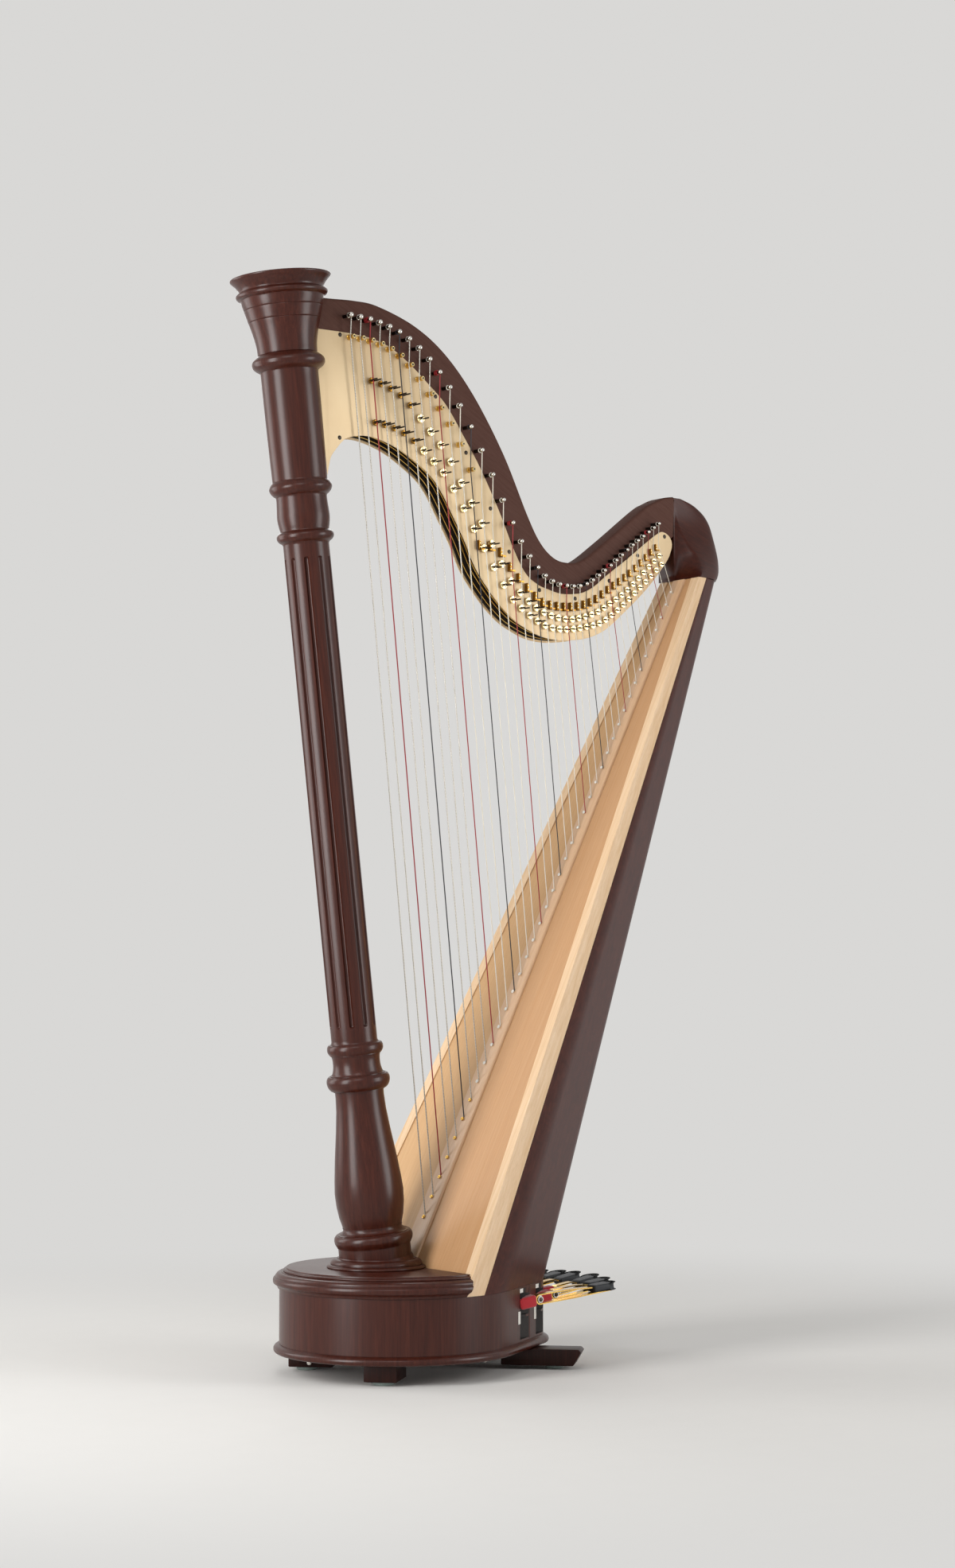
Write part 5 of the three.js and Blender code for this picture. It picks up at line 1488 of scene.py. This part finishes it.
@dataclass
class Neck:
    """Laminated neck with its tuning pins."""

    lines: HarpLines
    layout: StringSet
    half: float = 20.0
    edge: float = 5.0
    pin_radius: float = 3.2
    pin_root: float = 19.0
    shank_radius: float = 2.6
    square_half: float = 2.2
    square_end: float = 36.0
    ball: float = 4.6
    ball_tip: float = 0.05
    ball_y: float = 39.5
    ball_sizes: tuple[float, float] = (0.95, 0.6)
    top_shares: Line = (
        (-0.02, 0.985), (0.057, 0.991), (0.117, 0.998), (0.17, 0.994), (0.253, 0.953), (0.324, 0.881),
        (0.393, 0.762), (0.463, 0.591), (0.52, 0.408), (0.551, 0.326), (0.582, 0.283), (0.614, 0.27),
        (0.653, 0.283), (0.716, 0.356), (0.81, 0.476), (0.84, 0.505), (0.864, 0.523), (NECK_END, 0.531),
    )
    foot_shares: Line = (
        (-0.02, 0.79), (0.07, 0.81), (0.14, 0.808), (0.183, 0.796), (0.224, 0.768), (0.27, 0.702),
        (0.322, 0.604), (0.369, 0.481), (0.448, 0.226), (0.49, 0.162), (0.528, 0.117), (0.569, 0.096),
        (0.604, 0.094), (0.658, 0.113), (0.706, 0.162), (0.778, 0.255), (0.838, 0.332), (NECK_END, 0.396),
    )

    def build(self) -> None:
        """Makes the neck and its pins."""
        place = self.lines.neck()
        top, foot = (self.layout.neck_line(shares, 160) for shares in (self.top_shares, self.foot_shares))
        wood = loft(self._sections(top, foot))
        SHOP.piece("neck_wood", wood, place, MAHOGANY_NECK_PAINTED_SHEEN, "frame", "mahogany", ["neck"])
        self._pins(place)

    def _pins(self, place: Placement) -> None:
        """Tuning pins: a shank coloured near black as painted shade, a bright ball on the near end and a square on
        the far one.
        """
        angle = np.linspace(0, math.pi, 12)[::-1]
        near = turned_on_y(
            np.column_stack([-self.ball_y - self.ball * np.cos(angle), self.ball * np.sin(angle) + self.ball_tip]), 20
        )
        shank = turned_on_y([(-self.ball_y, self.shank_radius), (-self.pin_root, self.pin_radius)], 16)
        side = self.square_half
        square = slab((-side, self.pin_root, -side), (side, self.square_end, side))
        places = at_depth(self.layout.pins, 0.0)
        scales = np.linspace(*self.ball_sizes, len(places))
        balls = at_depth(self.layout.pins, -self.ball_y * (1 - scales))
        for name, shape, finish, smooth in (
            ("tuning_pins", stamp(near, balls, scales=scales), NICKEL, 50.0),
            # Painted shade: the shanks are near black for the shade between ball and wood.
            ("tuning_pin_shanks_painted_shade", stamp(shank, places), DARK_STEEL, 50.0),
            ("tuning_pin_squares", stamp(square, places), NICKEL, 35.0),
        ):
            SHOP.piece(name, shape, place, finish, "frame", "steel", ["neck"], smooth=smooth)

    def _sections(self, top: np.ndarray, foot: np.ndarray) -> np.ndarray:
        """Sections from the foot line to the top line, with quarter-round edges.

        Each line is drawn in square to itself by edge times one minus the sine of a quarter turn.

        Args:
            top: top line in x and z.
            foot: foot line in x and z.

        Returns:
            One closed ring for each pair of points of the lines.
        """
        turn = np.linspace(0, math.pi / 2, 6)
        inset = self.edge * (1 - np.sin(turn))
        depth = -self.half + self.edge * (1 - np.cos(turn))
        levels = np.concatenate([depth, -depth[::-1]])
        insets = np.concatenate([inset, inset[::-1]])
        rings = []
        for line, side, order in ((foot, 1.0, 1), (top, -1.0, -1)):
            inward = left_of(heading(line)) * side
            moved = line[:, None] + inward[:, None] * insets[None, ::order, None]
            depths = np.broadcast_to(levels[::order], moved.shape[:2])
            rings.append(np.stack([moved[..., 0], depths, moved[..., 1]], -1))
        return np.concatenate(rings, axis=1)


@dataclass
class Shoulder:
    """Block that flares from the neck to the top of the sound box."""

    lines: HarpLines
    neck_half: float = 20.0
    front: float = StringSet.neck_length * NECK_END - 0.5
    gap: float = 0.3
    height: float = 149.2
    flare: float = 2.3
    flare_end: float = 0.94
    sweep: float = 34.0
    sweep_rise: float = 0.1
    back: Line = (
        (0, 871), (0.15, 884), (0.32, 894), (0.5, 897), (0.69, 893), (0.81, 882), (0.88, 868), (0.938, 850),
        (0.975, 828), (1.0, 806),
    )

    def build(self) -> None:
        """Makes the block from sections up to the end of the neck."""
        share = np.concatenate([np.linspace(0, 0.86, 22), np.linspace(0.88, 0.985, 10)])
        reach = np.interp(share, *spline(self.back, 200).T)
        block = loft(np.stack([self._section(s, back) for s, back in zip(share, reach)]))
        SHOP.piece("shoulder_block", block, self.lines.neck(), MAHOGANY_BLOCK, "frame", "mahogany", ["shoulder"])

    def _section(self, share: float, back: float) -> np.ndarray:
        """Superellipse whose width falls from the body's to the neck's by a power of the height.

        In front each side leaves the neck's face in a smooth step, width times (3 t squared - 2 t cubed).

        Args:
            share: share of the block's height.
            back: how far back the section reaches along the neck.

        Returns:
            The closed ring.
        """
        lines, neck, front = self.lines, self.neck_half, self.front
        z = lines.body_top + self.gap + self.height * share
        flare = max(1 - share / self.flare_end, 0.0) ** self.flare
        middle = lines.neck_local(np.array([lines.board_x(lines.body_top), 0, z]))[1]
        near = -neck + (middle - lines.top_half_width + neck) * flare
        far = neck + (middle + lines.top_half_width - neck) * flare
        power = 2 / (2 + 3 * (1 - flare))
        angle = np.linspace(-math.pi / 2, math.pi / 2, 49)
        across, out = squared_off(np.sin(angle), power), np.abs(np.cos(angle)) ** power
        start = front + self.sweep * (1 - math.exp(-share / self.sweep_rise)) * min(1.0, 2 * flare + 0.2)
        bend = np.linspace(0, 1, 11)[:-1]
        ease, ahead = bend**2 * (3 - 2 * bend), front + (start - front) * bend
        near_side = np.column_stack([ahead, -neck + (near + neck) * ease])
        far_side = np.column_stack([ahead, neck + (far - neck) * ease])[::-1]
        back_side = np.column_stack([start + (back - start) * out, (near + far) / 2 + (far - near) / 2 * across])
        return at_height(np.vstack([near_side, back_side, far_side]), z)


@dataclass
class Action:
    """Plates on both sides of the neck with the fittings that stop and sharpen the strings."""

    lines: HarpLines
    layout: StringSet
    inner: float = 20.3
    outer: float = 22.7
    plate_edge: float = 0.5
    last_pin: int = 13
    narrow_disc: float = 5.4
    wide_disc: float = 7.8
    treble_disc: float = 5.0
    first_wide: int = 8
    last_forked: int = 20
    reach_narrow: float = 48.0
    reach_wide: float = 42.0
    reach_short: float = 31.5
    linked: tuple[str, ...] = ("c", "d", "e", "f", "g", "a", "b")
    first_linked: int = 3
    top_shares: Line = (
        (0, 0.888), (0.074, 0.892), (0.116, 0.892), (0.156, 0.887), (0.197, 0.868), (0.239, 0.828),
        (0.28, 0.777), (0.322, 0.719), (0.361, 0.634), (0.403, 0.534), (0.447, 0.408), (0.482, 0.292),
        (0.511, 0.219), (0.541, 0.187), (0.569, 0.174), (0.596, 0.166), (0.623, 0.168), (0.651, 0.177),
        (0.679, 0.2), (0.713, 0.243), (0.76, 0.298), (0.807, 0.357), (0.84, 0.396), (0.856, 0.407),
    )
    end_shares: Line = ((0.873, 0.396), (0.881, 0.372), (0.877, 0.342), (0.867, 0.311))
    foot_shares: Line = (
        (0.84, 0.257), (0.807, 0.2), (0.759, 0.13), (0.712, 0.068), (0.679, 0.04), (0.651, 0.026),
        (0.623, 0.019), (0.596, 0.015), (0.568, 0.017), (0.541, 0.025), (0.513, 0.042), (0.487, 0.062),
        (0.46, 0.094), (0.433, 0.136), (0.394, 0.213), (0.367, 0.298), (0.338, 0.377), (0.31, 0.449),
        (0.281, 0.496), (0.224, 0.551), (0.178, 0.577), (0.138, 0.585), (0.102, 0.572), (0.089, 0.558),
        (0.076, 0.534), (0.064, 0.506), (0.059, 0.475), (0.053, 0.442), (0.03, 0.43),
    )
    natural_shares: Line = (
        (0.141, 0.757), (0.184, 0.745), (0.226, 0.713), (0.269, 0.648), (0.317, 0.569), (0.341, 0.511), (0.4, 0.365),
        (0.464, 0.205), (0.503, 0.142), (0.542, 0.104), (0.582, 0.087), (0.619, 0.085), (0.654, 0.099),
        (0.685, 0.118), (0.717, 0.151), (0.751, 0.188), (0.793, 0.249), (0.822, 0.294), (0.86, 0.35),
    )
    sharp_shares: Line = (
        (0.149, 0.629), (0.191, 0.623), (0.233, 0.601), (0.281, 0.545), (0.328, 0.474), (0.4, 0.3), (0.467, 0.146),
        (0.507, 0.095), (0.547, 0.061), (0.585, 0.05), (0.621, 0.054), (0.656, 0.066), (0.69, 0.082),
        (0.724, 0.117), (0.755, 0.158), (0.784, 0.2), (0.815, 0.245), (0.831, 0.27), (0.86, 0.315),
    )
    bracket_shares: Line = (
        (0.44, 0.29), (0.472, 0.229), (0.492, 0.199), (0.513, 0.17), (0.533, 0.145), (0.552, 0.129), (0.571, 0.124),
        (0.607, 0.124), (0.642, 0.133), (0.676, 0.155), (0.707, 0.19), (0.741, 0.226), (0.771, 0.261), (0.8, 0.302),
        (0.828, 0.342), (0.86, 0.38),
    )
    channel: tuple[float, float] = (95.0, 730.0)
    shade_sheet_drop: float = 3.4
    shade_sheet_height: float = 26.0
    shade_sheet_front: float = 2.6
    shade_sheet_gap: float = 0.3
    pin_side: float = 4.3
    bracket_side: float = 1.4
    bracket_sizes: tuple[float, float] = (1.0, 0.72)
    bracket_screws: Line = ((1.2, 4.0), (1.2, -2.2))
    rods: tuple[Corner, ...] = ((-8.0, 7.0, 0.9), (4.0, 9.0, 0.9), (13.0, 5.5, 0.8))
    screws: Line = (
        (74, 1658), (74, 1491), (268, 1582), (332, 1496), (384, 1408), (424, 1339), (490, 1280), (569, 1272),
        (646, 1309), (712, 1359), (775, 1398),
    )

    def build(self) -> None:
        """Makes the plates, screws, bridge fittings and discs."""
        place = self.lines.neck()
        line = self.layout.neck_line([*self.top_shares, *self.end_shares, *self.foot_shares], 420)
        for name, low, high in (("near", -self.outer, -self.inner), ("far", self.inner, self.outer)):
            plate = board(line[::-1], low, high, self.plate_edge, 2)
            SHOP.piece(f"plate_{name}", plate, place, SATIN_PLATE, "frame", "satin_brass", [f"action_plate_{name}"])
        self._channel(place)
        self._screws(place)
        self._bass_bridges(place)
        self._treble_bridges(place)
        self._discs(place)

    def _channel(self, place: Placement) -> None:
        """Painted shade: a dark sheet beside the far plate, for the shade in the gap under the neck, and thin rods
        that run along that gap.
        """
        foot = self.layout.neck_line(self.foot_shares[::-1], 120)
        line = foot[(foot[:, 0] > self.channel[0]) & (foot[:, 0] < self.channel[1])]
        up = left_of(heading(line))
        low, high = line + up * self.shade_sheet_drop, line + up * (self.shade_sheet_drop + self.shade_sheet_height)
        front, back = self.inner - self.shade_sheet_front, self.inner - self.shade_sheet_gap
        corners = ((low, front), (low, back), (high, back), (high, front))
        shade_sheet = loft(np.stack([at_depth(edge, y) for edge, y in corners], axis=1))
        SHOP.piece("channel_shade_sheet", shade_sheet, place, PAINTED_SHADE_BLACK, "frame", "mahogany")
        rods = [tube(at_depth(line + up * drop, depth), radius, 8) for depth, drop, radius in self.rods]
        SHOP.piece("action_links", together(*rods), place, GOLD, "frame", "polished_brass")

    def _screws(self, place: Placement) -> None:
        """Dark countersunk screws, a low dome each."""
        dome = [(-0.95, 1.2), (-0.7, 2.6), (-0.2, 3.5), (0.1, 3.6)]
        screw = turned_on_y([(y - self.outer, radius) for y, radius in dome], 24)
        places = [(x, 0, z) for x, z in self.screws]
        SHOP.piece("plate_screws", stamp(screw, places), place, DARK_STEEL, "frame", "steel")

    def _bass_bridges(self, place: Placement) -> None:
        """Grooved pins with a ringed end, and a dark disc sunk in the ring as painted shade for the hole in the end.
        """
        pin = turned_on_y([
            (-37.0, 3.0), (-36.6, 3.7), (-35.2, 4.0), (-33.8, 4.0), (-33.2, 3.3), (-31.8, 3.3), (-31.2, 4.0),
            (-24.0, 4.0), (-23.4, 4.9), (-22.0, 4.9),
        ], 24)
        ring = turned_on_y([(-36.9, 1.7), (-37.6, 1.9), (-37.9, 2.6), (-37.6, 3.2), (-36.5, 3.5)], 24)
        # Painted shade: a near black disc inside the ring, where the end has its hole.
        middle = turned_on_y([(-37.3, 0.3), (-37.2, 1.7), (-36.4, 1.8)], 16)
        places = [(b[0] + self.pin_side, 0, b[2]) for b in self.layout.bridges[: self.last_pin]]
        for name, shape, finish, slot in (
            ("bridge_pins", pin, GOLD, "polished_brass"), ("bridge_pin_ends", ring, PALE_GOLD, "polished_brass"),
            ("bridge_pin_end_shade", middle, DARK_STEEL, "steel"),
        ):
            SHOP.piece(name, stamp(shape, places), place, finish, "frame", slot, smooth=40)

    def _treble_bridges(self, place: Placement) -> None:
        """Bent brackets with two screws each, smaller towards the top."""
        face = -self.outer
        base = together(
            slab((-4.6, face - 8.0, -7.8), (-3.6, face + 0.2, 8.0)),
            slab((-3.4, face - 1.0, -7.4), (4.6, face + 0.2, 7.6)),
            slab((-2.4, face - 9.6, -8.4), (4.8, face + 0.2, -7.0)),
            slab((-2.4, face - 11.0, -8.4), (4.8, face - 9.4, -5.6)),
        )
        screw = turned_on_y([(-3.4, 0.9), (-3.3, 1.5), (-2.6, 1.8), (-0.9, 1.85)], 14)
        dot = turned_on_y([(-3.8, 0.4), (-3.7, 0.9), (-3.0, 1.0)], 10)
        screws, dots = (
            together(*[one.moved((x, face, 0)).moved((0, 0, z)) for x, z in self.bracket_screws])
            for one in (screw, dot)
        )
        line = self.layout.neck_line(self.bracket_shares, 90)
        treble = self.layout.bridges[self.last_pin :]
        scales = np.linspace(*self.bracket_sizes, len(treble))
        spots = [
            (b[0] + self.bracket_side, (1 - k) * face, np.interp(b[0], *line.T)) for b, k in zip(treble, scales)
        ]
        for name, shape, finish in (
            ("bridge_brackets", base, BRONZE), ("bridge_dots", dots, PALE_GOLD),
            ("bridge_screws", screws, DARK_STEEL),
        ):
            SHOP.piece(name, stamp(shape, spots, scales=scales), place, finish, "frame", "polished_brass", smooth=40)

    def _disc(self, radius: float) -> Shape:
        """Wide disc with a raised rim and centre, on its spindle."""
        face = -self.outer - 2.2
        return turned_on_y([
            (face - 3.4, radius * 0.2), (face - 3.2, radius * 0.36), (face - 2.6, radius * 0.42),
            (face - 2.6, radius * 0.76), (face - 3.0, radius * 0.82), (face - 3.0, radius - 0.6),
            (face - 2.4, radius), (face - 0.6, radius), (face - 0.1, radius - 0.6), (face, 3.0),
            (face + 0.2, 2.6), (8 - self.outer, 2.6),
        ], 28)

    def _fork(self, radius: float, end: float) -> Shape:
        """Two pins on a disc, between which the string runs, and the dark screw in its middle.

        Args:
            radius: radius of the disc.
            end: how far out the pins reach.

        Returns:
            The three bodies.
        """
        root = -self.outer - 4.6
        post = turned_on_y([(-end, 0.3), (0.6 - end, 1.0), (1.4 - end, 1.25), (root, 1.25)], 10)
        middle = turned_on_y([(root - 1.6, 0.4), (root - 1.4, radius * 0.26), (root, radius * 0.3)], 14)
        spread = radius * 0.72
        return together(post.moved((spread, 0, 0)), post.moved((-spread, 0, 0)), middle)

    def _spot(self, number: int, line: np.ndarray) -> np.ndarray:
        """Where a string crosses a line on which discs stand."""
        top, low = self.layout.bridges[number - 1], self.layout.eyelets[number - 1]
        spot = top
        for _ in range(20):
            spot = top + (low - top) * (top[2] - np.interp(spot[0], *line.T)) / (top[2] - low[2])
        return spot

    def _discs(self, place: Placement) -> None:
        """Linked discs ride on bodies of their own; the others ride on the frame."""
        plain: dict[str, list[Shape]] = {"discs": [], "forks": []}
        rows = {
            row: self.layout.neck_line(shares, 90)
            for row, shares in (("natural", self.natural_shares), ("sharp", self.sharp_shares))
        }
        for number in range(self.first_linked, self.layout.count + 1):
            narrow, linked = number < self.first_wide, number - self.first_linked < len(self.linked)
            share = (number - 1) / (self.layout.count - 1)
            wide = self.wide_disc + (self.treble_disc - self.wide_disc) * share
            radius, finish = (self.narrow_disc, BRONZE) if narrow else (wide, PALE_GOLD)
            reach = self.reach_wide if number <= self.last_forked else self.reach_short
            for row, line in rows.items():
                spot = self._spot(number, line) * [1, 0, 1]
                disc = self._disc(radius).moved(spot)
                fork = self._fork(radius, self.reach_narrow if narrow else reach).moved(spot)
                if not linked:
                    plain["discs"].append(disc)
                    plain["forks"].append(fork)
                    continue
                note = self.linked[number - self.first_linked]
                for kind, shape, dressed, slot in (
                    ("disc", disc, finish, "polished_brass"), ("fork", fork, DARK_STEEL, "steel"),
                ):
                    SHOP.piece(f"{kind}_{row}_{note}", shape, place, dressed, f"{row}_{note}", slot,
                               [f"{row}_disc_{note}"], smooth=40)
        for kind, finish in (("discs", PALE_GOLD), ("forks", DARK_STEEL)):
            SHOP.piece(f"{kind}_upper", together(*plain[kind]), place, finish, "frame", "polished_brass", smooth=40)


# Pedals


@dataclass
class Pedals:
    """Folding foot arms: a brass strip bent into a long loop round its hinge, with a rubber cap."""

    lines: HarpLines
    base: Base
    names: tuple[str, ...] = ("d", "c", "b", "e", "f", "g", "a")
    rest_z: float = 112.0
    axle_z: float = 72.0
    outset: float = 31.0
    cap_arc_x: float = 218.0
    cap_arc: float = 190.0
    cap_climb: float = 12.0
    cap_length: float = 44.0
    cap_width: float = 28.5
    cap_half: float = 5.8
    cap_edge: float = 3.4
    cap_corner: float = 2.5
    cap_heel: float = 0.8
    hinge_radius: float = 7.4
    strip_half: float = 0.95
    strip_widths: tuple[float, float] = (5.6, 7.6)
    felt_sides: tuple[float, float] = (8.2, 9.5)
    felt_square: float = 0.3
    felt_gap: float = 1.6
    felt_end: float = -8.8

    def build(self, frame: dict) -> None:
        """Dresses levers, rods and axle, and makes the arms and the felt sleeves."""
        for name, y in zip(self.names, self.base.slots):
            dress_node(frame, f"pedal_lever_{name}", LEVER_STEEL)
            dress_node(frame, f"pedal_rod_{name}", LEVER_STEEL)
            face = self.base.face_x(y)
            self._arm(name, y, face)
            self._sleeve(name, y, face)
        dress_node(frame, "pedal_axle", LEVER_STEEL)

    def _arm(self, name: str, y: float, face: float) -> None:
        """Strip, hinge and cap of one arm, drawn along it from the hinge."""
        length = self.cap_arc_x + math.sqrt(self.cap_arc**2 - y**2) - (face + self.outset)
        place = self._at_hinge(y, face, math.atan(self.cap_climb / length))
        body, arm = f"arm_{name}", [f"pedal_arm_{name}"]
        hinge = [(-7.4, 5.2), (-7.0, 5.5), (7.0, 5.5), (7.4, 5.2)]
        screw = [(-8.6, 1.5), (-8.4, 3.0), (-7.6, 3.7), (7.6, 3.7), (8.4, 3.0), (8.6, 1.5)]
        SHOP.piece(f"pedal_strip_{name}", self._strip(length), place, GOLD, body, "polished_brass", arm, smooth=40)
        SHOP.piece(f"pedal_hinge_{name}", turned_on_y(hinge, 24), place, NICKEL, body, "steel")
        SHOP.piece(f"pedal_screw_{name}", turned_on_y(screw, 20), place, DARK_STEEL, body, "steel")
        SHOP.piece(f"pedal_cap_{name}", self._cap(length), place, RUBBER, body, "rubber", arm, smooth=50)

    def _at_hinge(self, y: float, face: float, climb: float) -> Placement:
        """Placement at a pedal's hinge, with X along a piece that climbs outwards by an angle."""
        origin = np.array([self.lines.shift_x + face + self.outset, y, self.rest_z])
        return Placement(turn_about("y", -climb), origin)

    def _strip(self, length: float) -> Shape:
        """Loop of strip: over the hinge, round it and back under the cap, wider towards the cap."""
        round_hinge = np.radians(np.linspace(90, 270, 13))
        path = np.vstack([
            spline([(length + 8, 2.0), (length - 22, 2.2), (length * 0.5, 5.6), (length * 0.2, 7.2)], 18),
            self.hinge_radius * np.column_stack([np.cos(round_hinge), np.sin(round_hinge)]),
            spline([(length * 0.2, -7.6), (length * 0.5, -7.9), (length - 18, -7.4), (length + 18, -7.0)], 18),
        ])
        normal = left_of(heading(path)) * self.strip_half
        half = np.interp(path[:, 0], [0, length], self.strip_widths)
        corners = ((path + normal, -half), (path + normal, half), (path - normal, half), (path - normal, -half))
        return loft(np.stack([at_depth(edge, y) for edge, y in corners], axis=1))

    def _cap(self, length: float) -> Shape:
        """Cap with a round nose, a narrower heel and soft edges."""
        half = self.cap_width / 2
        start, end = length - self.cap_length / 2, length + self.cap_length / 2 - half
        nose = np.radians(np.linspace(-90, 90, 25))
        outline = np.vstack([
            [[start, -half * self.cap_heel]],
            np.column_stack([end + half * np.cos(nose), half * np.sin(nose)]),
            [[start, half * self.cap_heel]],
        ])
        flat = board(rounded(outline, self.cap_corner, 3), -self.cap_half, self.cap_half, self.cap_edge)
        return flat.moved((0, 0, 0), turn_about("x", -math.pi / 2))

    def _sleeve(self, name: str, y: float, face: float) -> None:
        """Felt round the lever just outside the wall; its inner end keeps parallel to the wall."""
        run = face + self.outset - self.lines.axle_x
        place = self._at_hinge(y, face, math.atan2(self.rest_z - self.axle_z, run))
        angle, (wide, high) = circle(32), self.felt_sides
        across = squared_off(np.cos(angle), self.felt_square) * wide
        up = squared_off(np.sin(angle), self.felt_square) * high
        start = np.array([self.base.face_x(y + v) - face for v in across]) - self.outset + self.felt_gap
        rows = [
            np.column_stack([start + (self.felt_end - start) * s, across * shrink, up * shrink])
            for s, shrink in ((0, 0.86), (0.05, 0.96), (0.12, 1.0), (0.88, 1.0), (0.95, 0.96), (1.0, 0.86))
        ]
        SHOP.piece(f"felt_sleeve_{name}", loft(np.stack(rows)), place, RED_FELT, f"lever_{name}", "gut", smooth=50)


# Studio


@dataclass
class Studio:
    """Camera, lamps, floor and backdrop."""

    lines: HarpLines
    eye: Corner = (-2590.0, -3829.0, 635.6)
    heading: float = math.radians(36.1)
    pitch: float = math.radians(3.764)
    lens: float = 65.97
    lamp_table: tuple[tuple[str, Corner, Corner, tuple[float, float], float], ...] = (
        ("key", (-3.0, -0.3, 1.3), (0.0, 0.0, 0.9), (1.0, 2.6), 76.0),
        ("left", (-1.8, 2.2, 1.3), (-0.1, 0.0, 0.9), (1.2, 2.2), 26.0),
        ("right", (2.3, -2.9, 1.3), (0.0, 0.0, 0.9), (1.6, 2.6), 66.0),
        ("top", (-2.2, -2.4, 3.2), (0.0, 0.0, 0.9), (1.6, 1.6), 20.0),
        ("rim", (1.6, 3.0, 2.8), (0.0, 0.0, 1.0), (1.8, 1.8), 26.0),
    )

    def camera(self) -> None:
        """Camera at the photograph's place, with its long side upright."""
        data = bpy.data.cameras.new("camera")
        data.sensor_fit = "VERTICAL"
        data.sensor_height = 36.0
        data.lens = self.lens
        data.clip_end = 100.0
        level = math.cos(self.pitch)
        look = Vector((math.sin(self.heading) * level, math.cos(self.heading) * level, math.sin(self.pitch)))
        place = self.lines.base().to_frame(np.array(self.eye)).tolist()
        bpy.context.scene.camera = self._stand("camera", data, place, look)

    def lamps(self) -> None:
        """Broad soft lamps and an even pale world."""
        for name, at, target, size, power in self.lamp_table:
            data = bpy.data.lights.new(name, "AREA")
            data.shape = "RECTANGLE"
            data.size, data.size_y = size
            data.energy = power
            self._stand(name, data, at, Vector(target) - Vector(at))
        world = bpy.data.worlds.new("studio")
        world.use_nodes = True
        tree = world.node_tree
        tree.nodes.clear()
        paper = STUDIO_PAPER
        soft = add(tree, "ShaderNodeBackground", {"Color": linear("#e6e6e6"), "Strength": 0.3}).outputs[0]
        seen = {"Color": linear(paper.backdrop), "Strength": paper.backdrop_strength}
        shown = add(tree, "ShaderNodeBackground", seen).outputs[0]
        mixed = add(tree, "ShaderNodeMixShader", links={0: seen_ray(tree), 1: soft, 2: shown}).outputs[0]
        add(tree, "ShaderNodeOutputWorld", links={0: mixed})
        bpy.context.scene.world = world

    @staticmethod
    def _stand(name: str, data: bpy.types.ID, at: Sequence[float], look: Vector) -> bpy.types.Object:
        """Puts a camera or lamp at a point in metres, looking along a direction."""
        obj = bpy.data.objects.new(name, data)
        obj.location = at
        obj.rotation_euler = look.to_track_quat("-Z", "Y").to_euler()
        bpy.context.scene.collection.objects.link(obj)
        return obj

    @staticmethod
    def floor() -> None:
        """Plain pale floor, forty metres across so that its edge lies beyond the backdrop's fade."""
        mesh = bpy.data.meshes.new("floor")
        half = 20.0
        corners = [(-half, -half, 0), (half, -half, 0), (half, half, 0), (-half, half, 0)]
        mesh.from_pydata(corners, [], [(0, 1, 2, 3)])
        floor = bpy.data.objects.new("floor", mesh)
        bpy.context.scene.collection.objects.link(floor)
        mesh.materials.append(STUDIO_PAPER.material())


# Making it


def main() -> None:
    """Builds the sub-assemblies in order."""
    logging.basicConfig(level=logging.INFO, format="%(name)s %(message)s")
    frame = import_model()
    lines = HarpLines()
    studio = Studio(lines)
    studio.camera()
    layout = StringSet(lines)
    base = Base(lines)
    base.build()
    SoundBox(lines).build(frame)
    Column(lines).build()
    Neck(lines, layout).build()
    Shoulder(lines).build()
    Action(lines, layout).build()
    Strings(lines, layout).build()
    Pedals(lines, base).build(frame)
    studio.lamps()
    studio.floor()
    bpy.context.scene.view_settings.view_transform = "Standard"
    LOG.info("%d pieces", SHOP.made)


if __name__ == "__main__":
    main()
